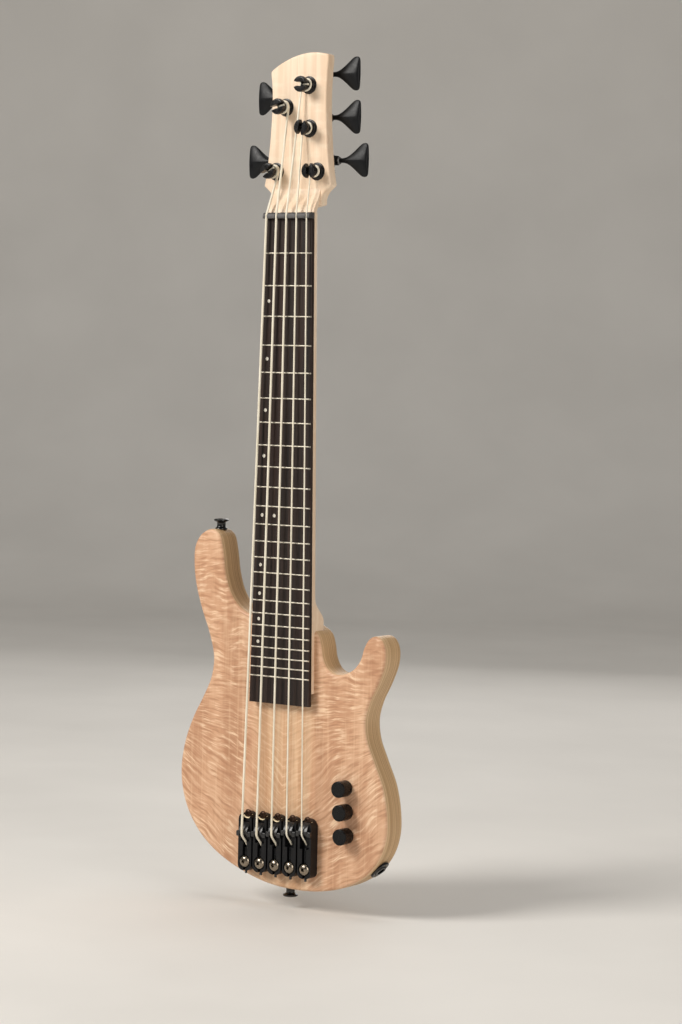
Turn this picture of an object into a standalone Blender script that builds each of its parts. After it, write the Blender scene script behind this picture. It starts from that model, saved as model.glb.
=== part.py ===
"""Five-string short-scale electric bass guitar, solid body, headstock with five open-gear tuners.

Working frame of the drawing, in millimetres: X to the player's treble side as seen from the front,
Y from the front of the instrument towards its back, Z up along the neck. Z = 0 is the front edge of
the nut, Y = 0 is the top of the fingerboard and X = 0 is the centre line of the strings.
The part's own origin sits at the neck hanger point, on the centre line under the headstock shoulders.
"""
import math

import bmesh
import bpy
from mathutils import Vector

# ---------------------------------------------------------------- driving dimensions, mm
HANG_Y = 17.0             # neck hanger point, depth
HANG_Z = 22.0             # neck hanger point, above the nut
SCALE = 530.0             # string scale length
FRETS = 24
NUT_HALF = 24.65          # half width of the fingerboard at the nut
HEEL_HALF = 33.83         # half width that the fingerboard taper would reach at the saddles
BOARD_END = -421.0
BOARD_T = 3.9
FRET_W = 2.2
FRET_H = 1.0
GAP = 0.3                 # gap between touching pieces
NECK_TOP = 4.2
NECK_END = -410.0
HEEL_BOTTOM = 24.0
FACE_Y = 8.0              # front of the body
TOP_T = 5.0               # figured top
BACK_Y = 36.0             # back of the body
FRONT_R = 3.0             # front edge radius
BACK_R = 6.0              # back edge radius
HEAD_FACE = 12.0          # front of the headstock
HEAD_BACK = 22.0
NUT_Z = 5.0
NUT_TOP = -4.3
STRING_R = (1.05, 1.00, 0.92, 0.78, 0.65)
NUT_PITCH = 10.53
BRIDGE_PITCH = 15.93
NUT_CLEAR = 2.3           # underside of the strings above the fingerboard at the nut
SADDLE_CLEAR = 5.7        # and over the saddles
BEND_Z = (-538.3, -537.5, -535.8, -533.0, -531.8)
SCREW_Z = -562.3
POSTS = ((-22.3, 41.3), (-13.2, 96.5), (10.4, 115.0), (11.9, 77.9), (20.9, 40.8))
SIDES = (-1, -1, 1, 1, 1)
SLOT_ANGLE = (33.0, 18.0, 0.0, 77.0, 92.0)
POST_TOP = -3.0
POST_WAIST = 4.0
SHAFT_Y = 29.0            # tuner button shaft, behind the headstock
SHAFT_RISE = 10.2         # and above the post
KNOBS = ((67.5, -488.6), (68.7, -508.9), (69.8, -529.6))
KNOB_R = 7.1
KNOB_H = 12.4
JACK = (95.0, 22.0, -558.0)
JACK_DIR = (0.7071, 0.0, -0.7071)
STRAP_HORN = (-82.0, 22.0, -273.4)
STRAP_TAIL = (1.5, 22.0, -583.2)

# outline of the body in X and Z, clockwise from the tip of the bass horn
OUTLINE = (
    (-83, -272.8), (-94, -277.5), (-100.5, -287), (-102.1, -300), (-99.8, -321), (-93, -343),
    (-83.5, -366), (-78.3, -386), (-80.6, -404), (-89, -422), (-99, -440), (-107.6, -461.5),
    (-112, -485), (-110.6, -505), (-103.5, -525.5), (-90, -544.5), (-70, -560.5), (-42, -573.5),
    (-14, -581.2), (14, -583.6), (42, -581.8), (68, -575), (89.5, -562.5), (102.8, -546.5),
    (109.2, -528), (109.3, -508), (104.5, -485), (95, -464), (86.9, -445), (85.2, -429),
    (89.3, -413.5), (97.5, -397.3), (104, -380), (104.2, -366.5), (99.5, -358), (93.5, -355.8),
    (87, -358.6), (82, -366.5), (78.7, -376.5), (72.5, -385), (63, -390.3), (53, -391.6),
    (44.5, -387.3), (39.5, -378.5), (37.5, -368), (33.5, -358), (23, -351.5), (6, -346),
    (-16, -345), (-36, -346), (-50, -340.2), (-60.5, -328), (-66.7, -311), (-69.6, -293), (-74.5, -277),
)

# outline of the headstock in X and Z, from the bass side of the neck round to the treble side
HEAD = (
    (-24.9, 12), (-25.6, 17.5), (-28.5, 23), (-32.5, 26.6), (-35.2, 29.2), (-34.6, 32.5), (-33.2, 40), (-31.4, 55),
    (-29.9, 72), (-28.8, 92), (-28.7, 108), (-29.6, 120), (-30.4, 127.4), (-28.6, 129.4), (-20, 134.6), (-9, 139.3),
    (3, 142.3), (14, 143.2), (23, 142.3), (28.8, 141), (30, 139.2), (29.3, 128), (28.5, 108), (28.8, 92),
    (29.9, 72), (31.4, 55), (33.2, 40), (34.6, 32.5), (35.2, 29.2), (32.5, 26.6), (28.5, 23), (25.6, 17.5), (24.9, 12),
)

CAVITY = ((52, -479), (88, -479), (95, -500), (94.5, -526), (86, -545), (72, -556), (52, -556))
BATTERY_CAVITY = ((4, -471), (32, -471), (32, -523), (4, -523))

for old in list(bpy.data.objects):
    bpy.data.objects.remove(old, do_unlink=True)


# ---------------------------------------------------------------- helpers
def world(p):
    return Vector((p[0], p[1] - HANG_Y, p[2] - HANG_Z)) / 1000.0


def material(name, colour, rough, metal):
    m = bpy.data.materials.new(name)
    m.use_nodes = True
    b = m.node_tree.nodes["Principled BSDF"]
    b.inputs["Base Color"].default_value = (*colour, 1.0)
    b.inputs["Roughness"].default_value = rough
    b.inputs["Metallic"].default_value = metal
    return m


def build(name, rings_or_mesh, look=None, origin=None, smooth=True):
    """One object from a vertex list in mm and a face list; faces are turned outwards."""
    verts, faces = rings_or_mesh
    base = world(origin) if origin else Vector((0, 0, 0))
    mesh = bpy.data.meshes.new(name)
    mesh.from_pydata([world(v) - base for v in verts], [], faces)
    bm = bmesh.new()
    bm.from_mesh(mesh)
    bmesh.ops.recalc_face_normals(bm, faces=bm.faces)
    if bm.calc_volume(signed=True) < 0:
        bmesh.ops.reverse_faces(bm, faces=bm.faces)
    bm.to_mesh(mesh)
    bm.free()
    obj = bpy.data.objects.new(name, mesh)
    bpy.context.scene.collection.objects.link(obj)
    obj.location = base
    if look:
        finish(obj, look, smooth)
    return obj


def finish(obj, look, smooth=True):
    obj.data.materials.clear()
    obj.data.materials.append(material(obj.name + "_finish", *look))
    if smooth:
        obj.data.shade_smooth()
        obj.data.set_sharp_from_angle(angle=math.radians(35))


def boolean(obj, tools, operation="DIFFERENCE"):
    """Cuts (or joins) each tool in turn, applies the result and removes the tool."""
    for tool in tools:
        tool.hide_render = True
        tool.display_type = "WIRE"
        mod = obj.modifiers.new("cut", "BOOLEAN")
        mod.operation = operation
        mod.solver = "EXACT"
        mod.object = tool
        bpy.context.view_layer.update()
        graph = bpy.context.evaluated_depsgraph_get()
        done = bpy.data.meshes.new_from_object(obj.evaluated_get(graph))
        obj.modifiers.clear()
        obj.data = done
        bpy.data.objects.remove(tool, do_unlink=True)
    return obj


def loft(rings):
    n = len(rings[0])
    verts = [p for ring in rings for p in ring]
    faces = [tuple(range(n))[::-1], tuple(range((len(rings) - 1) * n, len(rings) * n))]
    for k in range(len(rings) - 1):
        for i in range(n):
            j = (i + 1) % n
            faces.append((k * n + i, k * n + j, (k + 1) * n + j, (k + 1) * n + i))
    return verts, faces


def box(x0, x1, y0, y1, z0, z1):
    return loft([[(x0, y0, z), (x1, y0, z), (x1, y1, z), (x0, y1, z)] for z in (z0, z1)])


def prism(poly, y0, y1):
    return loft([[(x, y, z) for x, z in poly] for y in (y0, y1)])


def frame_of(axis):
    w = Vector(axis).normalized()
    u = Vector((0, 0, 1)) if abs(w.z) < 0.9 else Vector((1, 0, 0))
    u = (u - w * u.dot(w)).normalized()
    return w, u, w.cross(u)


def turned(profile, centre, axis, sides=16, closed=False, squash=None):
    """Revolves (radius, distance along axis) points; a point on the axis is one vertex."""
    w, u, v = frame_of(axis)
    c = Vector(centre)
    verts, rows = [], []
    for k, (r, t) in enumerate(profile):
        if r == 0:
            rows.append([len(verts)])
            verts.append(tuple(c + w * t))
            continue
        rows.append(list(range(len(verts), len(verts) + sides)))
        for i in range(sides):
            a = 2 * math.pi * (i + 0.5) / sides
            ru, rv = (r, r) if squash is None else squash[k]
            verts.append(tuple(c + w * t + u * (ru * math.cos(a)) + v * (rv * math.sin(a))))
    faces = []
    pairs = list(zip(rows, rows[1:]))
    if closed:
        pairs.append((rows[-1], rows[0]))
    for a, b in pairs:
        for i in range(sides):
            j = (i + 1) % sides
            if len(a) == 1:
                faces.append((a[0], b[j], b[i]))
            elif len(b) == 1:
                faces.append((a[i], a[j], b[0]))
            else:
                faces.append((a[i], a[j], b[j], b[i]))
    if not closed:
        if len(rows[0]) > 1:
            faces.append(tuple(rows[0])[::-1])
        if len(rows[-1]) > 1:
            faces.append(tuple(rows[-1]))
    return verts, faces


def tube(path, radius, sides=6):
    pts = [Vector(p) for p in path]
    rings = []
    side = None
    for k, p in enumerate(pts):
        a = pts[max(k - 1, 0)]
        b = pts[min(k + 1, len(pts) - 1)]
        d1 = (p - a).normalized() if k else (b - p).normalized()
        d2 = (b - p).normalized() if k < len(pts) - 1 else d1
        d = (d1 + d2).normalized()
        if side is None:
            side = Vector((1, 0, 0)) - d * d.x
        side = (side - d * side.dot(d)).normalized()
        other = d.cross(side)
        grow = 1.0 / max(0.5, d.dot(d1))
        turn = (d2 - d1)
        ring = []
        for i in range(sides):
            ang = 2 * math.pi * i / sides
            off = side * math.cos(ang) + other * math.sin(ang)
            if turn.length > 1e-6:
                n = turn.normalized()
                off = off + n * off.dot(n) * (grow - 1.0)
            ring.append(tuple(p + off * radius))
        rings.append(ring)
    return loft(rings)


def spline(points, steps):
    """Closed centripetal curve through the points, 'steps' samples per span."""
    out = []
    n = len(points)
    for i in range(n):
        p = [Vector(points[(i + k - 1) % n]) for k in range(4)]
        t = [0.0]
        for k in range(3):
            t.append(t[-1] + max((p[k + 1] - p[k]).length, 1e-6) ** 0.5)
        for s in range(steps):
            x = t[1] + (t[2] - t[1]) * s / steps
            a = [p[k] * ((t[k + 1] - x) / (t[k + 1] - t[k])) + p[k + 1] * ((x - t[k]) / (t[k + 1] - t[k])) for k in range(3)]
            b = [a[k] * ((t[k + 2] - x) / (t[k + 2] - t[k])) + a[k + 1] * ((x - t[k]) / (t[k + 2] - t[k])) for k in range(2)]
            out.append(tuple(b[0] * ((t[2] - x) / (t[2] - t[1])) + b[1] * ((x - t[1]) / (t[2] - t[1]))))
    return out


def inset(poly, d):
    """Moves each edge of a closed outline inwards by d, whichever way it runs."""
    n = len(poly)
    area = sum(poly[i][0] * poly[(i + 1) % n][1] - poly[(i + 1) % n][0] * poly[i][1] for i in range(n))
    s = 1.0 if area > 0 else -1.0
    out = []
    for i in range(n):
        p, q, r = Vector(poly[i - 1]), Vector(poly[i]), Vector(poly[(i + 1) % n])
        a, b = (q - p).normalized(), (r - q).normalized()
        na, nb = Vector((-a.y, a.x)) * s, Vector((-b.y, b.x)) * s
        m = (na + nb).normalized()
        out.append(tuple(q + m * (d / max(0.4, m.dot(na)))))
    return out


def board_half(z):
    return NUT_HALF + (HEEL_HALF - NUT_HALF) * (-z) / SCALE


# ---------------------------------------------------------------- body
BODY = spline(OUTLINE, 2)
wood = ((0.62, 0.42, 0.25), 0.42, 0.0)
core_look = ((0.60, 0.45, 0.26), 0.45, 0.0)
black = ((0.012, 0.012, 0.013), 0.35, 0.4)


def edge_rings(radius, y_edge, y_far, inward):
    rings = []
    for k in range(4):
        a = math.radians(30 * k)
        rings.append([(x, y_edge + inward * radius * (1 - math.sin(a)), z)
                      for x, z in inset(BODY, radius * (1 - math.cos(a)))] if k else
                     [(x, y_edge + inward * radius, z) for x, z in BODY])
    return [[(x, y_far, z) for x, z in BODY]] + rings


def neck_outline(grow):
    z_top = -330.0
    return ((-board_half(z_top) - grow, z_top), (board_half(z_top) + grow, z_top),
            (board_half(NECK_END) + grow, NECK_END - grow), (-board_half(NECK_END) - grow, NECK_END - grow))


body_top = build("body_top", loft(edge_rings(FRONT_R, FACE_Y, FACE_Y + TOP_T, 1)))
tools = [build("t", prism(neck_outline(GAP), FACE_Y - 5, FACE_Y + TOP_T + 5))]
for x, z in KNOBS:
    tools.append(build("t", turned([(4.1, -6), (4.1, 12)], (x, FACE_Y, z), (0, 1, 0), 12)))
for i in range(5):
    x = (i - 2) * BRIDGE_PITCH
    tools.append(build("t", turned([(2.1, -6), (2.1, 12)], (x, FACE_Y, SCREW_Z), (0, 1, 0), 8)))
boolean(body_top, tools)
finish(body_top, wood)

body_core = build("body_core", loft(edge_rings(BACK_R, BACK_Y, FACE_Y + TOP_T + GAP, -1)))
tools = [build("t", prism(neck_outline(GAP), FACE_Y, HEEL_BOTTOM + GAP)),
         build("t", prism(CAVITY, 17.0, BACK_Y + 5)),
         build("t", prism(inset(CAVITY, -4.0), BACK_Y - 2.3, BACK_Y + 5)),
         build("t", prism(BATTERY_CAVITY, 15.7, BACK_Y + 5)),
         build("t", prism(inset(BATTERY_CAVITY, -4.0), BACK_Y - 2.3, BACK_Y + 5))]
for x, z in KNOBS:
    tools.append(build("t", turned([(4.1, -4), (4.1, 14)], (x, FACE_Y + TOP_T, z), (0, 1, 0), 12)))
for i in range(5):
    x = (i - 2) * BRIDGE_PITCH
    tools.append(build("t", turned([(2.1, -4), (2.1, 7)], (x, FACE_Y + TOP_T, SCREW_Z), (0, 1, 0), 8)))
tools.append(build("t", turned([(6.3, -26), (6.3, 4)], JACK, JACK_DIR, 16)))
tools.append(build("t", turned([(12.0, -0.6), (12.0, 8)], JACK, JACK_DIR, 24)))
tools.append(build("t", turned([(5.6, 0.0), (5.6, 6)], STRAP_HORN, (0, 0, 1), 16)))
tools.append(build("t", turned([(5.6, 0.0), (5.6, 6)], STRAP_TAIL, (0, 0, -1), 16)))
boolean(body_core, tools)
finish(body_core, core_look)

control_cover = build("control_cover", prism(inset(CAVITY, -3.7), BACK_Y - 2.0, BACK_Y - 0.1), black)
battery_cover = build("battery_cover", prism(inset(BATTERY_CAVITY, -3.7), BACK_Y - 2.0, BACK_Y - 0.1), black)
battery = build("battery", box(5.0, 31.0, 16.2, 33.4, -521.0, -472.5), ((0.03, 0.03, 0.03), 0.4, 0.2))
preamp_board = build("preamp_board", box(54.0, 86.0, 28.5, 30.1, -540.0, -482.0), ((0.02, 0.16, 0.06), 0.5, 0.0))

# ---------------------------------------------------------------- neck and headstock
ARC = 12


def neck_ring(z, half, y_top, depth, power):
    ring = [(-half, y_top, z), (half, y_top, z)]
    for k in range(1, ARC):
        a = math.pi * k / ARC
        c, s = math.cos(a), math.sin(a)
        ring.append((half * math.copysign(abs(c) ** (2 / power), c), y_top + depth * abs(s) ** (2 / power), z))
    return ring


def neck_depth(z):
    return 13.8 + 3.2 * (-z) / 340.0


rings = []
for z, half, y_top, y_back, power in (
        (34.0, 24.0, HEAD_FACE + 0.06, HEAD_BACK - 0.06, 6.0), (27.0, 24.4, HEAD_FACE + 0.06, HEAD_BACK - 0.06, 5.0),
        (23.0, 24.6, 11.2, 21.7, 4.0), (18.0, 24.7, 8.8, 20.6, 3.2), (13.0, 24.7, 5.6, 19.4, 2.8),
        (8.5, 24.7, 3.0, 18.6, 2.5), (5.4, 24.65, 2.0, 18.2, 2.4)):
    rings.append(neck_ring(z, half, y_top, y_back - y_top, power))
rings.append(neck_ring(5.3, 24.65, NECK_TOP, 13.8, 2.4))
for z in (-10.0, -120.0, -230.0, -322.0):
    rings.append(neck_ring(z, board_half(z), NECK_TOP, neck_depth(z), 2.4))
rings.append(neck_ring(-334.0, board_half(-334.0), NECK_TOP, 17.8, 3.0))
rings.append(neck_ring(-341.0, board_half(-341.0), NECK_TOP, HEEL_BOTTOM - NECK_TOP - 0.6, 7.0))
rings.append(neck_ring(-346.5, board_half(-346.5), NECK_TOP, HEEL_BOTTOM - NECK_TOP, 20.0))
rings.append(neck_ring(NECK_END, board_half(NECK_END), NECK_TOP, HEEL_BOTTOM - NECK_TOP, 20.0))
neck = build("neck", loft(rings))
head_rings = []
for d, y in ((1.5, HEAD_FACE), (0.5, HEAD_FACE + 0.5), (0.0, HEAD_FACE + 1.5), (0.0, HEAD_BACK - 1.5), (0.5, HEAD_BACK - 0.5), (1.5, HEAD_BACK)):
    head_rings.append([(x, y, z) for x, z in inset(HEAD, d)])
boolean(neck, [build("t", loft(head_rings))], "UNION")
tools = [build("t", box(-3.4, 3.4, NECK_TOP - 4, 11.6, -384.0, -16.0))]
for x, z in POSTS:
    tools.append(build("t", turned([(5.9, -4), (5.9, 16)], (x, HEAD_FACE, z), (0, 1, 0), 16)))
boolean(neck, tools)
finish(neck, ((0.80, 0.66, 0.46), 0.4, 0.0))

truss_rod = build("truss_rod", turned([(3.0, 0), (3.0, 362.0)], (0, 8.2, -381.0), (0, 0, 1), 10), ((0.35, 0.35, 0.36), 0.4, 1.0))

# fingerboard and its frets, drawn from the side and spread to the tapering width
side = [(0.0, BOARD_T), (0.0, 0.0)]
for k in range(1, FRETS + 1):
    z = -SCALE * (1 - 2 ** (-k / 12))
    side += [(z + FRET_W / 2, 0.0), (z + FRET_W * 0.28, -FRET_H), (z - FRET_W * 0.28, -FRET_H), (z - FRET_W / 2, 0.0)]
side += [(BOARD_END, 0.0), (BOARD_END, BOARD_T)]
fingerboard = build("fingerboard", loft([[(s * board_half(z), y, z) for z, y in side] for s in (-1, 1)]),
                    ((0.045, 0.025, 0.018), 0.45, 0.0), smooth=False)

nut = build("nut", box(-24.4, 24.4, NUT_TOP, NECK_TOP - GAP, GAP, NUT_Z))
tools = []
for i in range(5):
    x = (i - 2) * NUT_PITCH
    tools.append(build("t", box(x - STRING_R[i] - GAP, x + STRING_R[i] + GAP, NUT_TOP - 4, -1.35, -3, NUT_Z + 3)))
boolean(nut, tools)
finish(nut, ((0.03, 0.03, 0.032), 0.5, 0.0), smooth=False)

# ---------------------------------------------------------------- bridge units
for i in range(5):
    n = i + 1
    x = (i - 2) * BRIDGE_PITCH
    w = 7.1
    outline = [(x + w * math.cos(math.radians(a)), -525.6 + w * math.sin(math.radians(a))) for a in range(0, 181, 20)]
    outline += [(x + w * math.cos(math.radians(a)), -565.1 + 5.4 * math.sin(math.radians(a))) for a in range(180, 361, 20)]
    base = build("bridge_base_%d" % n, prism(outline, -2.0, FACE_Y - GAP))
    tools = [build("t", box(x - 9, x + 9, -6, 2.7, -522.0, -510.0)),
             build("t", box(x - 4.9, x + 4.9, -6, 2.7, -543.5, -517.0)),
             build("t", box(x - 2.2, x + 2.2, -6, 2.7, -557.0, -540.0)),
             build("t", turned([(2.1, -4), (2.1, 16)], (x, -2.0, SCREW_Z), (0, 1, 0), 8)),
             build("t", turned([(4.9, -4), (4.9, 2.2)], (x, -2.0, SCREW_Z), (0, 1, 0), 16))]
    boolean(base, tools)
    finish(base, black)

    screw = build("bridge_screw_%d" % n, turned(
        [(0, -3.2), (2.4, -2.9), (4.0, -1.7), (4.6, -0.1), (1.8, -0.1), (1.8, 18.5), (0, 18.5)], (x, 0.0, SCREW_Z), (0, 1, 0), 12),
        ((0.62, 0.60, 0.56), 0.25, 1.0))

    rear = BEND_Z[i] - 0.6
    top = -SADDLE_CLEAR + GAP
    shape = ((rear, 2.4), (rear, top + 2.0), (rear + 2.4, top), (rear + 4.4, top), (rear + 7.6, top + 1.6), (rear + 11.6, 0.6), (rear + 11.6, 2.4))
    saddle = build("bridge_saddle_%d" % n, loft([[(x + s * 4.6, y, z) for z, y in shape] for s in (-1, 1)]),
                   origin=(x, -2.3, rear + 3.0))
    boolean(saddle, [build("t", box(x - 7.7, x + 7.7, -4.2, -2.3, rear + 0.7, rear + 5.6))], "UNION")
    finish(saddle, black)

# ---------------------------------------------------------------- strings
for i in range(5):
    r = STRING_R[i]
    s = SIDES[i]
    px, pz = POSTS[i]
    xb = (i - 2) * BRIDGE_PITCH
    xn = (i - 2) * NUT_PITCH
    y_s = -SADDLE_CLEAR - r
    y_n = -NUT_CLEAR - r
    wrap = POST_WAIST + 0.45 + r
    y_w = 8.0 - r
    path = [(xb, 1.2 - r * 0.2, BEND_Z[i] - 8.6), (xb, y_s + 2.6, BEND_Z[i] - 2.5), (xb, y_s + 0.55, BEND_Z[i] - 0.7),
            (xb, y_s, BEND_Z[i] + 1.2), (xn, y_n, 2.0), (xn + (px - s * wrap - xn) * 0.05, y_n + (y_w - y_n) * 0.05, 2.5 + (pz - 2.5) * 0.055)]
    for k in range(12):
        a = math.radians(180 - 25 * k) if s > 0 else math.radians(25 * k)
        path.append((px + wrap * math.cos(a), y_w + 0.09 * k, pz + wrap * math.sin(a)))
    build("string_%d" % (i + 1), tube(path, r), ((0.80, 0.78, 0.68), 0.5, 0.0))

# ---------------------------------------------------------------- tuners
for i in range(5):
    n = i + 1
    px, pz = POSTS[i]
    s = SIDES[i]
    build("tuner_bushing_%d" % n, turned(
        [(4.5, -2.7), (6.9, -2.7), (7.7, -1.9), (7.7, -GAP), (5.6, -GAP), (5.6, 4.0), (4.5, 4.0)], (px, HEAD_FACE, pz), (0, 1, 0), 16, closed=True),
        black)
    post = build("tuner_post_%d" % n, turned(
        [(0, 0), (5.9, 0), (6.85, 0.9), (6.85, 4.4), (6.0, 5.2), (POST_WAIST, 5.2), (POST_WAIST, 30.0), (6.3, 30.0), (6.3, 34.0), (0, 34.0)],
        (px, POST_TOP, pz), (0, 1, 0), 16), origin=(px, POST_TOP, pz))
    a = math.radians(SLOT_ANGLE[i])
    u, v = Vector((math.cos(a), 0, math.sin(a))), Vector((-math.sin(a), 0, math.cos(a)))
    c = Vector((px, 0, pz))
    slot = [[tuple(c + u * (p * 9) + v * (q * 1.7) + Vector((0, y, 0))) for p, q in ((-1, -1), (1, -1), (1, 1), (-1, 1))]
            for y in (POST_TOP - 3, POST_TOP + 7.5)]
    boolean(post, [build("t", loft(slot))])
    finish(post, black)

    plate = build("tuner_plate_%d" % n, box(px - 9.8, px + 9.8, HEAD_BACK + GAP, HEAD_BACK + 2.0, pz - 8.0, pz + 15.4))
    lugs = [build("t", box(px + e * 8.6 - 1.2, px + e * 8.6 + 1.2, HEAD_BACK + 1.0, SHAFT_Y + 4.2, pz + 6.4, pz + 14.6)) for e in (-1, 1)]
    boolean(plate, lugs, "UNION")
    boolean(plate, [build("t", turned([(4.4, -4), (4.4, 4)], (px, HEAD_BACK + 1, pz), (0, 1, 0), 12)),
                    build("t", turned([(2.5, -14), (2.5, 14)], (px, SHAFT_Y, pz + SHAFT_RISE), (1, 0, 0), 10))])
    finish(plate, black)

    grip = ((-10.6, 2.1, 2.1), (-7.0, 2.1, 2.1), (-6.9, 3.2, 3.2), (6.9, 3.2, 3.2), (7.0, 2.1, 2.1), (16.5, 2.1, 2.1), (18.5, 2.9, 2.8),
            (22.5, 4.6, 3.3), (27.0, 7.8, 3.5), (32.0, 12.0, 3.5), (35.5, 14.3, 3.3), (38.5, 14.5, 3.0), (40.4, 13.6, 2.3), (41.2, 12.0, 1.2))
    build("tuner_button_%d" % n, turned([(1, t) for t, _, _ in grip], (px, SHAFT_Y, pz + SHAFT_RISE), (s, 0, 0), 12,
                                        squash=[(a, b) for _, a, b in grip]),
          black, origin=(px, SHAFT_Y, pz + SHAFT_RISE))

# ---------------------------------------------------------------- controls, jack and strap buttons
for i, (x, z) in enumerate(KNOBS):
    n = i + 1
    build("pot_%d" % n, turned(
        [(0, 0.0), (3.0, 0.0), (3.0, 9.0), (3.8, 9.0), (3.8, 17.3), (7.4, 17.3), (7.4, 25.5), (0, 25.5)], (x, 0.0, z), (0, 1, 0), 12),
        ((0.5, 0.5, 0.5), 0.4, 1.0))
    build("knob_%d" % n, turned(
        [(0, 0), (KNOB_R - 0.6, 0), (KNOB_R, 0.6), (KNOB_R, KNOB_H), (3.4, KNOB_H), (3.4, 4.0), (0, 4.0)],
        (x, FACE_Y - 0.5 - KNOB_H, z), (0, 1, 0), 24), black, origin=(x, FACE_Y - 0.5, z))

jn, ju, jv = frame_of(JACK_DIR)
jc = Vector(JACK)
plate_ring = []
for k in range(24):
    a = 2 * math.pi * k / 24
    plate_ring.append((9.6 * math.copysign(abs(math.cos(a)) ** 0.8, math.cos(a)), 7.0 * math.copysign(abs(math.sin(a)) ** 0.8, math.sin(a))))
jack_plate = build("jack_plate", loft([[tuple(jc + jn * t + ju * p + jv * q) for p, q in plate_ring] for t in (-0.3, 1.3)]))
boolean(jack_plate, [build("t", turned([(5.0, -4), (5.0, 6)], JACK, JACK_DIR, 16))])
finish(jack_plate, black)
build("output_jack", turned([(4.7, 2.2), (3.3, 2.2), (3.3, -18.0), (0, -18.0), (0, -21.0), (4.7, -21.0)], JACK, JACK_DIR, 16, closed=False)
      if False else turned([(0, -18.0), (3.3, -18.0), (3.3, 2.2), (4.7, 2.2), (4.7, -21.0), (0, -21.0)], JACK, JACK_DIR, 16),
      ((0.06, 0.06, 0.065), 0.35, 0.8))

for name, c, axis in (("strap_button_horn", STRAP_HORN, (0, 0, 1)), ("strap_button_tail", STRAP_TAIL, (0, 0, -1))):
    build(name, turned([(0, 0.3), (5.2, 0.3), (5.2, 1.2), (3.9, 2.2), (3.9, 6.2), (6.7, 7.6), (6.7, 8.6), (5.2, 9.4), (0, 9.4)], c, axis, 18), black)
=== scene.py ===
import math

import bmesh
import bpy
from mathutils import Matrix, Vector

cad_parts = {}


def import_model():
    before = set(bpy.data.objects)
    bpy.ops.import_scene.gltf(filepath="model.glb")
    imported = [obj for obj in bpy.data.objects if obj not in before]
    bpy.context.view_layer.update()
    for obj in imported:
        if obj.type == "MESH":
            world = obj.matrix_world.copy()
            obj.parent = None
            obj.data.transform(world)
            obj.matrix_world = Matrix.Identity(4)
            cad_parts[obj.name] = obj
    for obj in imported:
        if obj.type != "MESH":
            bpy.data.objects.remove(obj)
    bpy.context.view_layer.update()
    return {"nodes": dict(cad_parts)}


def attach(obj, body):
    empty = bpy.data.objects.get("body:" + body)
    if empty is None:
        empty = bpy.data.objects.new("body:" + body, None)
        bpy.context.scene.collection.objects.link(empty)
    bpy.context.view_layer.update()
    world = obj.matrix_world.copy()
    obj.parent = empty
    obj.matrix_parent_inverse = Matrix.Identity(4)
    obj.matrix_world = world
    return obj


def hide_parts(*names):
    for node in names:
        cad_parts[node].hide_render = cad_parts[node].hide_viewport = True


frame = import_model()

# ------------------------------------------------------------------ dimensions, mm, in the drawing's frame
# X treble side, Y into the instrument, Z along the neck; origin at the nut, on the fingerboard's top
HANG_Y, HANG_Z = 17.0, 22.0
SCALE, FRETS = 530.0, 24
NUT_HALF, HEEL_HALF, BOARD_END, BOARD_T = 24.65, 33.83, -421.0, 3.9
NECK_TOP, NECK_END, HEEL_BOTTOM = 4.2, -410.0, 24.0
FACE_Y, TOP_T, BACK_Y, FRONT_R, BACK_R = 8.0, 5.0, 36.0, 3.0, 6.0
HEAD_FACE, HEAD_BACK = 12.0, 22.0
STRING_R = (1.05, 1.00, 0.92, 0.78, 0.65)
NUT_PITCH, BRIDGE_PITCH = 10.53, 15.93
NUT_CLEAR, SADDLE_CLEAR = 2.3, 5.7
BEND_Z = (-538.3, -537.5, -535.8, -533.0, -531.8)
SCREW_Z = -562.3
POSTS = ((-22.3, 41.3), (-13.2, 96.5), (10.4, 115.0), (11.9, 77.9), (20.9, 40.8))
SIDES = (-1, -1, 1, 1, 1)
SLOT_ANGLE = (33.0, 18.0, 0.0, 77.0, 92.0)
POST_TOP, POST_WAIST, SHAFT_Y, SHAFT_RISE = -3.0, 4.0, 29.0, 10.2
KNOBS = ((67.5, -488.6), (68.7, -508.9), (69.8, -529.6))
JACK, JACK_DIR = (95.0, 22.0, -558.0), (0.7071, 0.0, -0.7071)
STRAP_HORN, STRAP_TAIL = (-82.0, 22.0, -273.4), (1.5, 22.0, -583.2)

OUTLINE = (
    (-83, -272.8), (-94, -277.5), (-100.5, -287), (-102.1, -300), (-99.8, -321), (-93, -343),
    (-83.5, -366), (-78.3, -386), (-80.6, -404), (-89, -422), (-99, -440), (-107.6, -461.5),
    (-112, -485), (-110.6, -505), (-103.5, -525.5), (-90, -544.5), (-70, -560.5), (-42, -573.5),
    (-14, -581.2), (14, -583.6), (42, -581.8), (68, -575), (89.5, -562.5), (102.8, -546.5),
    (109.2, -528), (109.3, -508), (104.5, -485), (95, -464), (86.9, -445), (85.2, -429),
    (89.3, -413.5), (97.5, -397.3), (104, -380), (104.2, -366.5), (99.5, -358), (93.5, -355.8),
    (87, -358.6), (82, -366.5), (78.7, -376.5), (72.5, -385), (63, -390.3), (53, -391.6),
    (44.5, -387.3), (39.5, -378.5), (37.5, -368), (33.5, -358), (23, -351.5), (6, -346),
    (-16, -345), (-36, -346), (-50, -340.2), (-60.5, -328), (-66.7, -311), (-69.6, -293), (-74.5, -277),
)
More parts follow.
